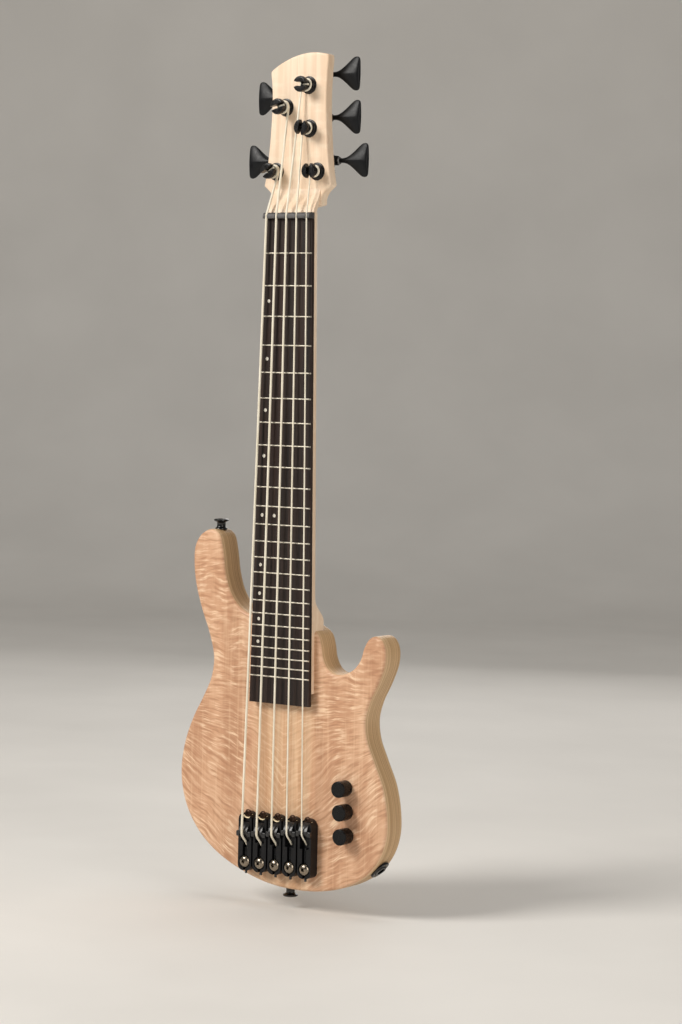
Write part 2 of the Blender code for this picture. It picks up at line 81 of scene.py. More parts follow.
HEAD = (
    (-24.9, 12), (-25.6, 17.5), (-28.5, 23), (-32.5, 26.6), (-35.2, 29.2), (-34.6, 32.5), (-33.2, 40), (-31.4, 55),
    (-29.9, 72), (-28.8, 92), (-28.7, 108), (-29.6, 120), (-30.4, 127.4), (-28.6, 129.4), (-20, 134.6), (-9, 139.3),
    (3, 142.3), (14, 143.2), (23, 142.3), (28.8, 141), (30, 139.2), (29.3, 128), (28.5, 108), (28.8, 92),
    (29.9, 72), (31.4, 55), (33.2, 40), (34.6, 32.5), (35.2, 29.2), (32.5, 26.6), (28.5, 23), (25.6, 17.5), (24.9, 12),
)
CAVITY = ((52, -479), (88, -479), (95, -500), (94.5, -526), (86, -545), (72, -556), (52, -556))
BATTERY_CAVITY = ((4, -471), (32, -471), (32, -523), (4, -523))
ROOT = "instrument"


# ------------------------------------------------------------------ mesh helpers
def world(p):
    return Vector((p[0], p[1] - HANG_Y, p[2] - HANG_Z)) / 1000.0


def raw(name, vf):
    verts, faces = vf
    mesh = bpy.data.meshes.new(name)
    mesh.from_pydata([world(v) for v in verts], [], faces)
    bm = bmesh.new()
    bm.from_mesh(mesh)
    bmesh.ops.recalc_face_normals(bm, faces=bm.faces)
    if bm.calc_volume(signed=True) < 0:
        bmesh.ops.reverse_faces(bm, faces=bm.faces)
    bm.to_mesh(mesh)
    bm.free()
    obj = bpy.data.objects.new(name, mesh)
    bpy.context.scene.collection.objects.link(obj)
    return obj


def boolean(obj, tools, operation="DIFFERENCE"):
    for tool in tools:
        mod = obj.modifiers.new("cut", "BOOLEAN")
        mod.operation = operation
        mod.solver = "EXACT"
        mod.object = tool
        bpy.context.view_layer.update()
        graph = bpy.context.evaluated_depsgraph_get()
        done = bpy.data.meshes.new_from_object(obj.evaluated_get(graph))
        obj.modifiers.clear()
        obj.data = done
        bpy.data.objects.remove(tool, do_unlink=True)
    return obj


def dress(obj, look, body=ROOT, slot=None, replaces=(), bevel=None, sharp=35.0):
    """Material, shading and body of one finished piece; slot is not used. bevel is (width mm, segments)."""
    obj.data.materials.clear()
    obj.data.materials.append(look)
    obj.data.shade_smooth()
    if bevel:
        b = obj.modifiers.new("edges", "BEVEL")
        b.width, b.segments = bevel[0] / 1000.0, bevel[1]
        b.limit_method, b.angle_limit = "ANGLE", math.radians(32)
        b.use_clamp_overlap = True
        b.miter_outer = "MITER_ARC"
    else:
        obj.data.set_sharp_from_angle(angle=math.radians(sharp))
    w = obj.modifiers.new("normals", "WEIGHTED_NORMAL")
    w.keep_sharp = not bevel
    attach(obj, body)
    if replaces:
        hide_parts(*replaces)
    return obj


def piece(name, vf, look, **kw):
    return dress(raw(name, vf), look, **kw)


def loft(rings, closed=False):
    n = len(rings[0])
    verts = [p for ring in rings for p in ring]
    faces = [] if closed else [tuple(range(n))[::-1], tuple(range((len(rings) - 1) * n, len(rings) * n))]
    last = len(rings) if closed else len(rings) - 1
    for k in range(last):
        m = (k + 1) % len(rings)
        for i in range(n):
            j = (i + 1) % n
            faces.append((k * n + i, k * n + j, m * n + j, m * n + i))
    return verts, faces


def box(x0, x1, y0, y1, z0, z1):
    return loft([[(x0, y0, z), (x1, y0, z), (x1, y1, z), (x0, y1, z)] for z in (z0, z1)])


def prism(poly, y0, y1):
    return loft([[(x, y, z) for x, z in poly] for y in (y0, y1)])


def frame_of(axis):
    w = Vector(axis).normalized()
    u = Vector((0, 0, 1)) if abs(w.z) < 0.9 else Vector((1, 0, 0))
    u = (u - w * u.dot(w)).normalized()
    return w, u, w.cross(u)


def turned(profile, centre, axis, sides=32, closed=False, shape=None):
    """Revolves (radius, distance along axis); shape(k, angle) can give the offsets along u and v instead."""
    w, u, v = frame_of(axis)
    c = Vector(centre)
    verts, rows = [], []
    for k, (r, t) in enumerate(profile):
        if r == 0:
            rows.append([len(verts)])
            verts.append(tuple(c + w * t))
            continue
        rows.append(list(range(len(verts), len(verts) + sides)))
        for i in range(sides):
            a = 2 * math.pi * (i + 0.5) / sides
            ru, rv = (r * math.cos(a), r * math.sin(a)) if shape is None else shape(k, a)
            verts.append(tuple(c + w * t + u * ru + v * rv))
    faces = []
    pairs = list(zip(rows, rows[1:]))
    if closed:
        pairs.append((rows[-1], rows[0]))
    for a, b in pairs:
        for i in range(sides):
            j = (i + 1) % sides
            if len(a) == 1:
                faces.append((a[0], b[j], b[i]))
            elif len(b) == 1:
                faces.append((a[i], a[j], b[0]))
            else:
                faces.append((a[i], a[j], b[j], b[i]))
    if not closed:
        if len(rows[0]) > 1:
            faces.append(tuple(rows[0])[::-1])
        if len(rows[-1]) > 1:
            faces.append(tuple(rows[-1]))
    return verts, faces


def thread(centre, axis, core, crest, pitch, t0, t1, sides=20, per=5):
    """A rod with a real helical ridge, as a height on a cylinder."""
    rows = int(round((t1 - t0) / pitch * per))
    prof = [(core, t0 + (t1 - t0) * k / rows) for k in range(rows + 1)]
    w, u, v = frame_of(axis)

    def shape(k, a):
        t = prof[k][1]
        ph = (t / pitch - a / (2 * math.pi)) % 1.0
        h = max(0.0, 1.0 - abs(ph - 0.5) * 3.2)
        if k in (0, rows):
            h = 0.0
        r = core + (crest - core) * h
        return r * math.cos(a), r * math.sin(a)
    return turned(prof, centre, axis, sides, shape=shape)


def tube(path, radius, sides=14):
    pts = [Vector(p) for p in path]
    rings, side = [], None
    for k, p in enumerate(pts):
        d1 = (p - pts[k - 1]).normalized() if k else (pts[1] - p).normalized()
        d2 = (pts[k + 1] - p).normalized() if k < len(pts) - 1 else d1
        d = (d1 + d2).normalized()
        if side is None:
            side = Vector((1, 0, 0)) - d * d.x
            if side.length < 0.2:
                side = Vector((0, 0, 1)) - d * d.z
        side = (side - d * side.dot(d)).normalized()
        other = d.cross(side)
        rings.append([tuple(p + (side * math.cos(2 * math.pi * i / sides) + other * math.sin(2 * math.pi * i / sides)) * radius)
                      for i in range(sides)])
    return loft(rings)


def centripetal(p, x01, steps):
    t = [0.0]
    for k in range(3):
        t.append(t[-1] + max((p[k + 1] - p[k]).length, 1e-6) ** 0.5)
    out = []
    for s in range(steps):
        x = t[1] + (t[2] - t[1]) * s / steps
        a = [p[k] * ((t[k + 1] - x) / (t[k + 1] - t[k])) + p[k + 1] * ((x - t[k]) / (t[k + 1] - t[k])) for k in range(3)]
        b = [a[k] * ((t[k + 2] - x) / (t[k + 2] - t[k])) + a[k + 1] * ((x - t[k]) / (t[k + 2] - t[k])) for k in range(2)]
        out.append(tuple(b[0] * ((t[2] - x) / (t[2] - t[1])) + b[1] * ((x - t[1]) / (t[2] - t[1]))))
    return out


def spline(points, steps):
    n = len(points)
    out = []
    for i in range(n):
        out += centripetal([Vector(points[(i + k - 1) % n]) for k in range(4)], None, steps)
    return out


def open_spline(points, steps):
    p = [Vector(q) for q in points]
    p = [p[0] * 2 - p[1]] + p + [p[-1] * 2 - p[-2]]
    out = []
    for i in range(len(p) - 3):
        out += centripetal(p[i:i + 4], None, steps)
    return out + [tuple(p[-2])]


def inset(poly, d):
    n = len(poly)
    area = sum(poly[i][0] * poly[(i + 1) % n][1] - poly[(i + 1) % n][0] * poly[i][1] for i in range(n))
    s = 1.0 if area > 0 else -1.0
    out = []
    for i in range(n):
        p, q, r = Vector(poly[i - 1]), Vector(poly[i]), Vector(poly[(i + 1) % n])
        a, b = (q - p).normalized(), (r - q).normalized()
        m = Vector((-a.y - b.y, a.x + b.x)) * s
        m.normalize()
        out.append(tuple(q + m * (d / max(0.4, m.dot(Vector((-a.y, a.x)) * s)))))
    return out


def rounded(poly, radius, seg=6):
    """Fillets the corners of a closed outline."""
    n = len(poly)
    out = []
    for i in range(n):
        p, q, r = Vector(poly[i - 1]), Vector(poly[i]), Vector(poly[(i + 1) % n])
        a, b = (p - q), (r - q)
        cut = min(radius, a.length * 0.45, b.length * 0.45)
        s, e = q + a.normalized() * cut, q + b.normalized() * cut
        for k in range(seg + 1):
            t = k / seg
            out.append(tuple(s * (1 - t) ** 2 + q * 2 * t * (1 - t) + e * t * t))
    return out


def board_half(z):
    return NUT_HALF + (HEEL_HALF - NUT_HALF) * (-z) / SCALE


def crown(x, z):
    """Slight camber of the fingerboard: how far the top falls towards its edges."""
    return 0.35 * (x / board_half(z)) ** 2


def fret_z(k):
    return -SCALE * (1 - 2 ** (-k / 12))


# ------------------------------------------------------------------ material helpers
def srgb(r, g, b):
    return tuple((c / 255 / 12.92 if c / 255 <= 0.04045 else ((c / 255 + 0.055) / 1.055) ** 2.4) for c in (r, g, b)) + (1.0,)


class Look:
    """One procedural material. Positions are in the drawing's millimetres, and stay with the piece."""

    def __init__(self, name, **sockets):
        self.m = bpy.data.materials.new(name)
        self.m.use_nodes = True
        self.t = self.m.node_tree
        self.t.nodes.clear()
        self.out = self.t.nodes.new("ShaderNodeOutputMaterial")
        self.b = self.t.nodes.new("ShaderNodeBsdfPrincipled")
        self.t.links.new(self.b.outputs[0], self.out.inputs[0])
        for k, v in sockets.items():
            self.b.inputs[k.replace("_", " ")].default_value = v
        co = self.t.nodes.new("ShaderNodeTexCoord").outputs["Object"]
        mad = self.t.nodes.new("ShaderNodeVectorMath")
        mad.operation = "MULTIPLY_ADD"
        self.put(mad.inputs[0], co)
        self.put(mad.inputs[1], (1000.0, 1000.0, 1000.0))
        self.put(mad.inputs[2], (0.0, HANG_Y, HANG_Z))
        self.p = mad.outputs[0]
        sep = self.t.nodes.new("ShaderNodeSeparateXYZ")
        self.put(sep.inputs[0], self.p)
        self.x, self.y, self.z = sep.outputs

    def put(self, socket, value):
        if isinstance(value, bpy.types.NodeSocket):
            self.t.links.new(value, socket)
        else:
            socket.default_value = value

    def math(self, op, a, b=0.0, c=None, clamp=False):
        n = self.t.nodes.new("ShaderNodeMath")
        n.operation, n.use_clamp = op, clamp
        self.put(n.inputs[0], a)
        self.put(n.inputs[1], b)
        if c is not None:
            self.put(n.inputs[2], c)
        return n.outputs[0]

    def vec(self, x=0.0, y=0.0, z=0.0):
        n = self.t.nodes.new("ShaderNodeCombineXYZ")
        for s, v in zip(n.inputs, (x, y, z)):
            self.put(s, v)
        return n.outputs[0]

    def scaled(self, sx, sy, sz):
        n = self.t.nodes.new("ShaderNodeVectorMath")
        n.operation = "MULTIPLY"
        self.put(n.inputs[0], self.p)
        self.put(n.inputs[1], (sx, sy, sz))
        return n.outputs[0]

    def noise(self, vector, scale=1.0, detail=2.0, rough=0.5, distort=0.0):
        n = self.t.nodes.new("ShaderNodeTexNoise")
        self.put(n.inputs["Vector"], vector)
        for k, v in (("Scale", scale), ("Detail", detail), ("Roughness", rough), ("Distortion", distort)):
            self.put(n.inputs[k], v)
        return n.outputs[0]

    def cells(self, vector, scale=1.0, feature="F1"):
        n = self.t.nodes.new("ShaderNodeTexVoronoi")
        n.feature = feature
        self.put(n.inputs["Vector"], vector)
        self.put(n.inputs["Scale"], scale)
        return n.outputs["Distance"]

    def fit(self, v, a, b, c=0.0, d=1.0, smooth=True):
        n = self.t.nodes.new("ShaderNodeMapRange")
        n.interpolation_type = "SMOOTHSTEP" if smooth else "LINEAR"
        self.put(n.inputs[0], v)
        for i, x in enumerate((a, b, c, d)):
            self.put(n.inputs[i + 1], x)
        return n.outputs[0]

    def ramp(self, fac, stops):
        n = self.t.nodes.new("ShaderNodeValToRGB")
        e = n.color_ramp.elements
        while len(e) < len(stops):
            e.new(0.5)
        for k, (pos, col) in enumerate(stops):
            e[k].position = pos
            e[k].color = col
        self.put(n.inputs[0], fac)
        return n.outputs[0]

    def mix(self, fac, a, b, blend="MIX"):
        n = self.t.nodes.new("ShaderNodeMix")
        n.data_type, n.blend_type = "RGBA", blend
        self.put(n.inputs[0], fac)
        self.put(n.inputs[6], a)
        self.put(n.inputs[7], b)
        return n.outputs[2]

    def bump(self, height, strength, depth_mm, chain=None):
        n = self.t.nodes.new("ShaderNodeBump")
        self.put(n.inputs["Strength"], strength)
        self.put(n.inputs["Distance"], depth_mm / 1000.0)
        self.put(n.inputs["Height"], height)
        if chain is not None:
            self.put(n.inputs["Normal"], chain)
        return n.outputs[0]

    def done(self, colour=None, rough=None, normal=None, metal=None):
        for k, v in (("Base Color", colour), ("Roughness", rough), ("Normal", normal), ("Metallic", metal)):
            if v is not None:
                self.put(self.b.inputs[k], v)
        return self.m


def figured_top():
    n = Look("figured_top", Specular_IOR_Level=0.38)
    ax = n.math("ABSOLUTE", n.x)
    slope = n.fit(n.z, -395.0, -470.0, 0.04, 0.62)
    slow = n.noise(n.scaled(0.014, 0.0, 0.014), 1.0, 2.0)
    mid = n.noise(n.scaled(0.050, 0.0, 0.030), 1.0, 2.0)
    u = n.math("SUBTRACT", n.z, n.math("MULTIPLY", slope, ax))
    u = n.math("MULTIPLY_ADD", slow, 30.0, u)
    u = n.math("MULTIPLY_ADD", mid, 7.0, u)
    flame = n.noise(n.vec(n.math("MULTIPLY", n.x, 0.060), n.math("MULTIPLY", u, 0.30), 0.0), 1.0, 1.0, 0.4)
    fine = n.noise(n.vec(n.math("MULTIPLY", n.x, 0.10), n.math("MULTIPLY", u, 0.66), 4.0), 1.0, 2.0, 0.5)
    patch = n.fit(n.noise(n.vec(n.math("MULTIPLY", n.x, 0.060), 0.0, n.math("MULTIPLY", u, 0.018)), 1.0, 2.0, 0.6), 0.42, 0.62)
    ridge = n.fit(n.math("ADD", n.math("MULTIPLY", flame, 0.55), n.math("MULTIPLY", fine, 0.45)), 0.48, 0.64)
    dip = n.fit(flame, 0.46, 0.30)
    tone = n.ramp(n.noise(n.scaled(0.045, 0.0, 0.010), 1.0, 3.0),
                  [(0.32, srgb(192, 144, 111)), (0.50, srgb(207, 160, 126)), (0.68, srgb(221, 178, 144))])
    col = n.mix(n.math("MULTIPLY", dip, 0.55), tone, srgb(170, 121, 88))
    col = n.mix(n.math("MULTIPLY", ridge, n.math("MULTIPLY_ADD", patch, 0.60, 0.34)), col, srgb(242, 209, 175))
    # paler quarter-sawn strip under the strings
    wob = n.math("MULTIPLY_ADD", mid, 14.0, ax)
    strip = n.fit(wob, 44.0, 27.0)
    lines = n.noise(n.scaled(0.13, 0.0, 0.0045), 1.0, 3.0, 0.55)
    pale = n.ramp(lines, [(0.34, srgb(194, 152, 114)), (0.47, srgb(212, 173, 135)), (0.60, srgb(230, 199, 162))])
    pale = n.mix(n.math("MULTIPLY", ridge, 0.34), pale, srgb(240, 214, 180))
    col = n.mix(n.math("MULTIPLY", strip, 0.66), col, pale)
    # fine straight grain and pores
    grain = n.noise(n.scaled(1.2, 1.2, 0.035), 1.0, 3.0, 0.6)
    col = n.mix(n.fit(grain, 0.52, 0.74, 0.0, 0.20), col, srgb(178, 128, 92), "MIX")
    streak = n.noise(n.scaled(0.42, 0.42, 0.012), 1.0, 2.0, 0.6)
    col = n.mix(n.fit(streak, 0.52, 0.72, 0.0, 0.22), col, srgb(240, 208, 172), "MIX")
    # the round edge cuts down to the pale wood under the figured sheet
    edge = n.fit(n.y, 9.0, 10.6)
    ply = n.noise(n.vec(n.math("MULTIPLY", n.x, 0.004), n.math("MULTIPLY", n.y, 1.1), n.math("MULTIPLY", n.z, 0.004)), 1.0, 2.0)
    rim = n.ramp(ply, [(0.35, srgb(196, 160, 120)), (0.55, srgb(216, 182, 141)), (0.68, srgb(228, 197, 157))])
    col = n.mix(edge, col, rim)
    rough = n.fit(n.math("ADD", flame, grain), 0.7, 1.3, 0.38, 0.50)
    h = n.math("ADD", n.math("MULTIPLY", grain, 0.6), n.math("MULTIPLY", fine, 0.3))
    return n.done(col, rough, n.bump(h, 0.25, 0.04))


def side_wood():
    n = Look("side_wood", Specular_IOR_Level=0.4)
    warp = n.noise(n.scaled(0.010, 0.0, 0.010), 1.0, 2.0)
    yy = n.math("MULTIPLY_ADD", warp, 3.0, n.y)
    along = n.math("MULTIPLY", n.math("ADD", n.x, n.z), 0.006)
    ply = n.noise(n.vec(along, n.math("MULTIPLY", yy, 0.75), 0.0), 1.0, 3.0, 0.6)
    line = n.noise(n.vec(n.math("MULTIPLY", along, 2.0), n.math("MULTIPLY", yy, 2.8), 3.0), 1.0, 2.0)
    col = n.ramp(ply, [(0.30, srgb(168, 132, 92)), (0.44, srgb(192, 156, 114)), (0.56, srgb(207, 173, 131)), (0.70, srgb(220, 190, 148))])
    col = n.mix(n.fit(line, 0.54, 0.66, 0.0, 0.55), col, srgb(144, 108, 72))
    fibre = n.noise(n.scaled(0.9, 1.6, 0.9), 1.0, 3.0, 0.6)
    col = n.mix(n.fit(fibre, 0.52, 0.74, 0.0, 0.22), col, srgb(160, 128, 88))
    # the back is one flat face with the grain along the body
    back = n.fit(n.y, 33.6, 35.4)
    cathedral = n.noise(n.vec(n.math("MULTIPLY", n.x, 0.11), 0.0, n.math("MULTIPLY", n.z, 0.006)), 1.0, 4.0, 0.55, 0.4)
    plain = n.ramp(cathedral, [(0.32, srgb(186, 146, 104)), (0.46, srgb(206, 168, 124)), (0.58, srgb(216, 182, 138)), (0.72, srgb(196, 156, 112))])
    pores = n.noise(n.scaled(2.2, 1.0, 0.06), 1.0, 2.0, 0.5)
    plain = n.mix(n.fit(pores, 0.56, 0.70, 0.0, 0.4), plain, srgb(140, 100, 66))
    col = n.mix(back, col, plain)
    h = n.math("ADD", n.math("MULTIPLY", line, 0.6), n.math("MULTIPLY", fibre, 0.5))
    return n.done(col, n.fit(fibre, 0.3, 0.7, 0.38, 0.52), n.bump(h, 0.35, 0.06))


def neck_wood():
    n = Look("neck_wood", Specular_IOR_Level=0.42)
    warp = n.noise(n.scaled(0.02, 0.02, 0.004), 1.0, 2.0)
    xx = n.math("MULTIPLY_ADD", warp, 10.0, n.x)
    wide = n.noise(n.vec(n.math("MULTIPLY", xx, 0.14), n.math("MULTIPLY", n.y, 0.10), n.math("MULTIPLY", n.z, 0.004)), 1.0, 3.0, 0.55)
    col = n.ramp(wide, [(0.30, srgb(230, 201, 171)), (0.47, srgb(237, 211, 183)), (0.60, srgb(243, 220, 194)), (0.74, srgb(234, 206, 177))])
    fine = n.noise(n.vec(n.math("MULTIPLY", xx, 1.6), n.math("MULTIPLY", n.y, 1.2), n.math("MULTIPLY", n.z, 0.030)), 1.0, 3.0, 0.6)
    col = n.mix(n.fit(fine, 0.52, 0.72, 0.0, 0.24), col, srgb(206, 166, 124))
    curl = n.noise(n.vec(n.math("MULTIPLY", n.x, 0.05), n.math("MULTIPLY", n.y, 0.3), n.math("MULTIPLY", n.z, 0.16)), 1.0, 2.0)
    col = n.mix(n.fit(curl, 0.5, 0.7, 0.0, 0.25), col, srgb(252, 238, 214))
    fleck = n.cells(n.vec(n.math("MULTIPLY", n.x, 0.9), n.math("MULTIPLY", n.y, 0.9), n.math("MULTIPLY", n.z, 0.16)), 1.0)
    col = n.mix(n.fit(fleck, 0.16, 0.05, 0.0, 0.30), col, srgb(196, 152, 112))
    return n.done(col, n.fit(fine, 0.3, 0.7, 0.36, 0.48), n.bump(n.math("ADD", fine, curl), 0.22, 0.04))


def board_wood():
    n = Look("fingerboard_wood", Specular_IOR_Level=0.30)
    warp = n.noise(n.scaled(0.03, 0.0, 0.006), 1.0, 2.0)
    xx = n.math("MULTIPLY_ADD", warp, 6.0, n.x)
    streak = n.noise(n.vec(n.math("MULTIPLY", xx, 0.34), n.math("MULTIPLY", n.y, 0.4), n.math("MULTIPLY", n.z, 0.006)), 1.0, 4.0, 0.6)
    col = n.ramp(streak, [(0.30, srgb(20, 14, 12)), (0.44, srgb(34, 25, 22)), (0.56, srgb(48, 36, 31)), (0.70, srgb(64, 48, 41))])
    red = n.noise(n.scaled(0.05, 0.05, 0.008), 1.0, 2.0)
    col = n.mix(n.fit(red, 0.5, 0.7, 0.0, 0.4), col, srgb(50, 28, 21))
    pores = n.noise(n.vec(n.math("MULTIPLY", xx, 3.4), n.math("MULTIPLY", n.y, 2.0), n.math("MULTIPLY", n.z, 0.11)), 1.0, 2.0, 0.5)
    pit = n.fit(pores, 0.56, 0.68)
    col = n.mix(n.math("MULTIPLY", pit, 0.75), col, srgb(14, 10, 9))
    return n.done(col, n.fit(pores, 0.35, 0.65, 0.38, 0.56), n.bump(n.math("SUBTRACT", 1.0, pit), 0.45, 0.08))


def metal(name, colour, lo, hi, metallic=1.0, scratch=0.12, size=0.35, **sockets):
    n = Look(name, Metallic=metallic, **sockets)
    cloud = n.noise(n.scaled(size, size, size), 1.0, 4.0, 0.6)
    hair = n.noise(n.scaled(0.7, 3.0, 0.7), 1.0, 3.0, 0.6)
    light = tuple(min(1.0, c * 1.35 + 0.004) for c in colour[:3]) + (1.0,)
    dark = tuple(c * 0.72 for c in colour[:3]) + (1.0,)
    col = n.ramp(cloud, [(0.30, dark), (0.52, colour), (0.76, light)])
    worn = n.fit(hair, 0.62, 0.78, 0.0, 0.35)
    col = n.mix(worn, col, light)
    return n.done(col, n.fit(cloud, 0.3, 0.7, lo, hi), n.bump(hair, scratch, 0.02))


def enamel(name, colour, lo, hi, **sockets):
    """Dark coated metal or moulded plastic with a faint orange peel and rubbed spots."""
    n = Look(name, **sockets)
    cloud = n.noise(n.scaled(0.22, 0.22, 0.22), 1.0, 4.0, 0.6)
    peel = n.noise(n.scaled(2.6, 2.6, 2.6), 1.0, 2.0, 0.5)
    rub = n.noise(n.scaled(0.9, 0.9, 0.9), 1.0, 4.0, 0.65)
    light = tuple(c * 1.8 + 0.0015 for c in colour[:3]) + (1.0,)
    col = n.ramp(cloud, [(0.30, colour), (0.75, light)])
    col = n.mix(n.fit(rub, 0.62, 0.80, 0.0, 0.5), col, tuple(c * 2.6 + 0.004 for c in colour[:3]) + (1.0,))
    return n.done(col, n.fit(n.math("ADD", cloud, n.math("MULTIPLY", rub, 0.5)), 0.5, 1.0, lo, hi), n.bump(peel, 0.10, 0.03))


def string_look():
    n = Look("string_cream", Specular_IOR_Level=0.45)
    cloud = n.noise(n.scaled(0.5, 0.5, 0.05), 1.0, 3.0, 0.6)
    speck = n.noise(n.scaled(2.2, 2.2, 2.2), 1.0, 3.0, 0.6)
    col = n.ramp(cloud, [(0.3, srgb(222, 213, 190)), (0.5, srgb(236, 228, 208)), (0.72, srgb(245, 239, 222))])
    col = n.mix(n.fit(speck, 0.58, 0.74, 0.0, 0.35), col, srgb(194, 180, 150))
    return n.done(col, n.fit(cloud, 0.3, 0.7, 0.40, 0.55), n.bump(speck, 0.15, 0.03))


def nut_look():
    n = Look("nut_graphite", Specular_IOR_Level=0.45)
    cloud = n.noise(n.scaled(0.3, 0.3, 0.3), 1.0, 4.0, 0.6)
    speck = n.noise(n.scaled(3.0, 3.0, 3.0), 1.0, 2.0, 0.5)
    col = n.ramp(cloud, [(0.3, srgb(58, 56, 56)), (0.52, srgb(78, 75, 74)), (0.75, srgb(98, 94, 92))])
    col = n.mix(n.fit(speck, 0.58, 0.72, 0.0, 0.5), col, srgb(38, 36, 36))
    return n.done(col, n.fit(cloud, 0.3, 0.7, 0.42, 0.6), n.bump(speck, 0.2, 0.03))


def dot_look():
    n = Look("marker_pearl", Specular_IOR_Level=0.5, Coat_Weight=0.2)
    cell = n.noise(n.scaled(0.7, 0.7, 0.7), 1.0, 3.0, 0.6, 1.2)
    col = n.ramp(cell, [(0.3, srgb(206, 198, 182)), (0.5, srgb(232, 226, 212)), (0.7, srgb(246, 244, 236))])
    return n.done(col, n.fit(cell, 0.3, 0.7, 0.22, 0.36), n.bump(cell, 0.1, 0.02))


def board_green():
    n = Look("circuit_green", Specular_IOR_Level=0.5)
    cell = n.noise(n.scaled(0.5, 0.5, 0.5), 1.0, 2.0)
    track = n.cells(n.scaled(0.25, 0.25, 0.25), 1.0, "F2")
    col = n.ramp(cell, [(0.35, srgb(14, 70, 38)), (0.65, srgb(24, 96, 52))])
    col = n.mix(n.fit(track, 0.70, 0.62, 0.0, 0.8), col, srgb(120, 150, 90))
    return n.done(col, n.fit(cell, 0.3, 0.7, 0.35, 0.5), n.bump(track, 0.3, 0.05))


M_TOP, M_SIDE, M_NECK, M_BOARD = figured_top(), side_wood(), neck_wood(), board_wood()
M_FRET = metal("fret_nickel", srgb(205, 198, 184), 0.42, 0.55)
M_NICKEL = metal("screw_nickel", srgb(150, 139, 124), 0.14, 0.32, scratch=0.3, size=0.8)
M_BRONZE = metal("screw_bronze", srgb(70, 54, 45), 0.26, 0.50, scratch=0.6, size=1.3)
# cream colour for the tab recess lip: a painted highlight, not the metal's own colour
M_LIP_HIGHLIGHT = enamel("recess_lip_painted_highlight", srgb(214, 196, 160), 0.35, 0.5)
M_STEEL = metal("rod_steel", srgb(120, 118, 116), 0.35, 0.5)
M_POT = metal("pot_metal", srgb(168, 164, 156), 0.32, 0.48)
M_BLACK = enamel("tuner_black", srgb(9, 9, 10), 0.20, 0.32, Specular_IOR_Level=0.34)
M_BRIDGE = enamel("bridge_black", srgb(12, 12, 14), 0.30, 0.42, Specular_IOR_Level=0.26)
M_SADDLE = enamel("saddle_black", srgb(9, 9, 11), 0.27, 0.34, Specular_IOR_Level=0.70)
M_KNOB = enamel("knob_black", srgb(5, 5, 6), 0.20, 0.32, Specular_IOR_Level=0.24)
M_BUTTON = enamel("button_black", srgb(9, 10, 12), 0.34, 0.46, Specular_IOR_Level=0.22)
M_GLOSS = enamel("gloss_black", srgb(7, 7, 8), 0.10, 0.20, Specular_IOR_Level=0.5, Coat_Weight=0.15)
M_PLASTIC = enamel("cover_plastic", srgb(24, 24, 25), 0.42, 0.58, Specular_IOR_Level=0.4)
M_STRING, M_NUT, M_DOT, M_PCB = string_look(), nut_look(), dot_look(), board_green()


# ------------------------------------------------------------------ shared small hardware
def cross_head(r, h, recess=0.45, sides=28):
    """Pan-head screw with a cross recess, on the +Z axis with its seat at z = 0, in plain millimetres."""
    prof = [(0, h), (r * 0.30, h * 0.985), (r * 0.58, h * 0.90), (r * 0.80, h * 0.72), (r * 0.94, h * 0.42), (r, h * 0.10), (r, 0.0), (0, 0.0)]
    vs, fs = turned(prof, (0, 0, 0), (0, 0, 1), sides)
    obj = raw("t_head", ([(x, y + HANG_Y, z + HANG_Z) for x, y, z in vs], fs))
    for a, b in ((recess, 0.13), (0.13, recess)):
        ax, bx = r * a * 1.25, r * b
        lo, hi = h * 0.35, h * 1.3
        rings = [[(sx * ax * g, sy * bx * g + HANG_Y, z + HANG_Z) for sx, sy in ((-1, -1), (1, -1), (1, 1), (-1, 1))]
                 for z, g in ((lo, 0.55), (hi, 1.1))]
        if a < b:
            rings = [[(sx * ax * g, sy * bx * 1.25 * g + HANG_Y, z + HANG_Z) for sx, sy in ((-1, -1), (1, -1), (1, 1), (-1, 1))]
                     for z, g in ((lo, 0.55), (hi, 1.1))]
        boolean(obj, [raw("t_cut", loft(rings))])
    out = ([tuple(v.co * 1000) for v in obj.data.vertices], [tuple(p.vertices) for p in obj.data.polygons])
    bpy.data.objects.remove(obj, do_unlink=True)
    return out


HEADS = {}


def screw(name, centre, axis, r, h, look, slot, body=ROOT, spin=0.0, replaces=(), shank=None, recess=0.45):
    key = (r, h, recess)
    if key not in HEADS:
        HEADS[key] = cross_head(r, h, recess)
    vs, fs = HEADS[key]
    w, u, v = frame_of(axis)
    u, v = u * math.cos(spin) + v * math.sin(spin), v * math.cos(spin) - u * math.sin(spin)
    c = Vector(centre)
    verts = [tuple(c + u * x + v * y + w * z) for x, y, z in vs]
    faces = list(fs)
    if shank:
        sv, sf = thread(centre, axis, shank[0] * 0.78, shank[0], shank[1], -shank[2], 0.2, 12, 4)
        faces += [tuple(i + len(verts) for i in f) for f in sf]
        verts += sv
    return piece(name, (verts, faces), look, body=body, slot=slot, replaces=replaces)


# ------------------------------------------------------------------ body
BODY = spline(OUTLINE, 7)


def edge_rings(radius, y_edge, y_far, inward, steps=7):
    rings = [[(x, y_far, z) for x, z in BODY]]
    for k in range(steps + 1):
        a = math.pi / 2 * k / steps
        ring = BODY if k == 0 else inset(BODY, radius * (1 - math.cos(a)))
        rings.append([(x, y_edge + inward * radius * (1 - math.sin(a)), z) for x, z in ring])
    return rings


def neck_outline(grow):
    z_top = -330.0
    return ((-board_half(z_top) - grow, z_top), (board_half(z_top) + grow, z_top),
            (board_half(NECK_END) + grow, NECK_END - grow), (-board_half(NECK_END) - grow, NECK_END - grow))


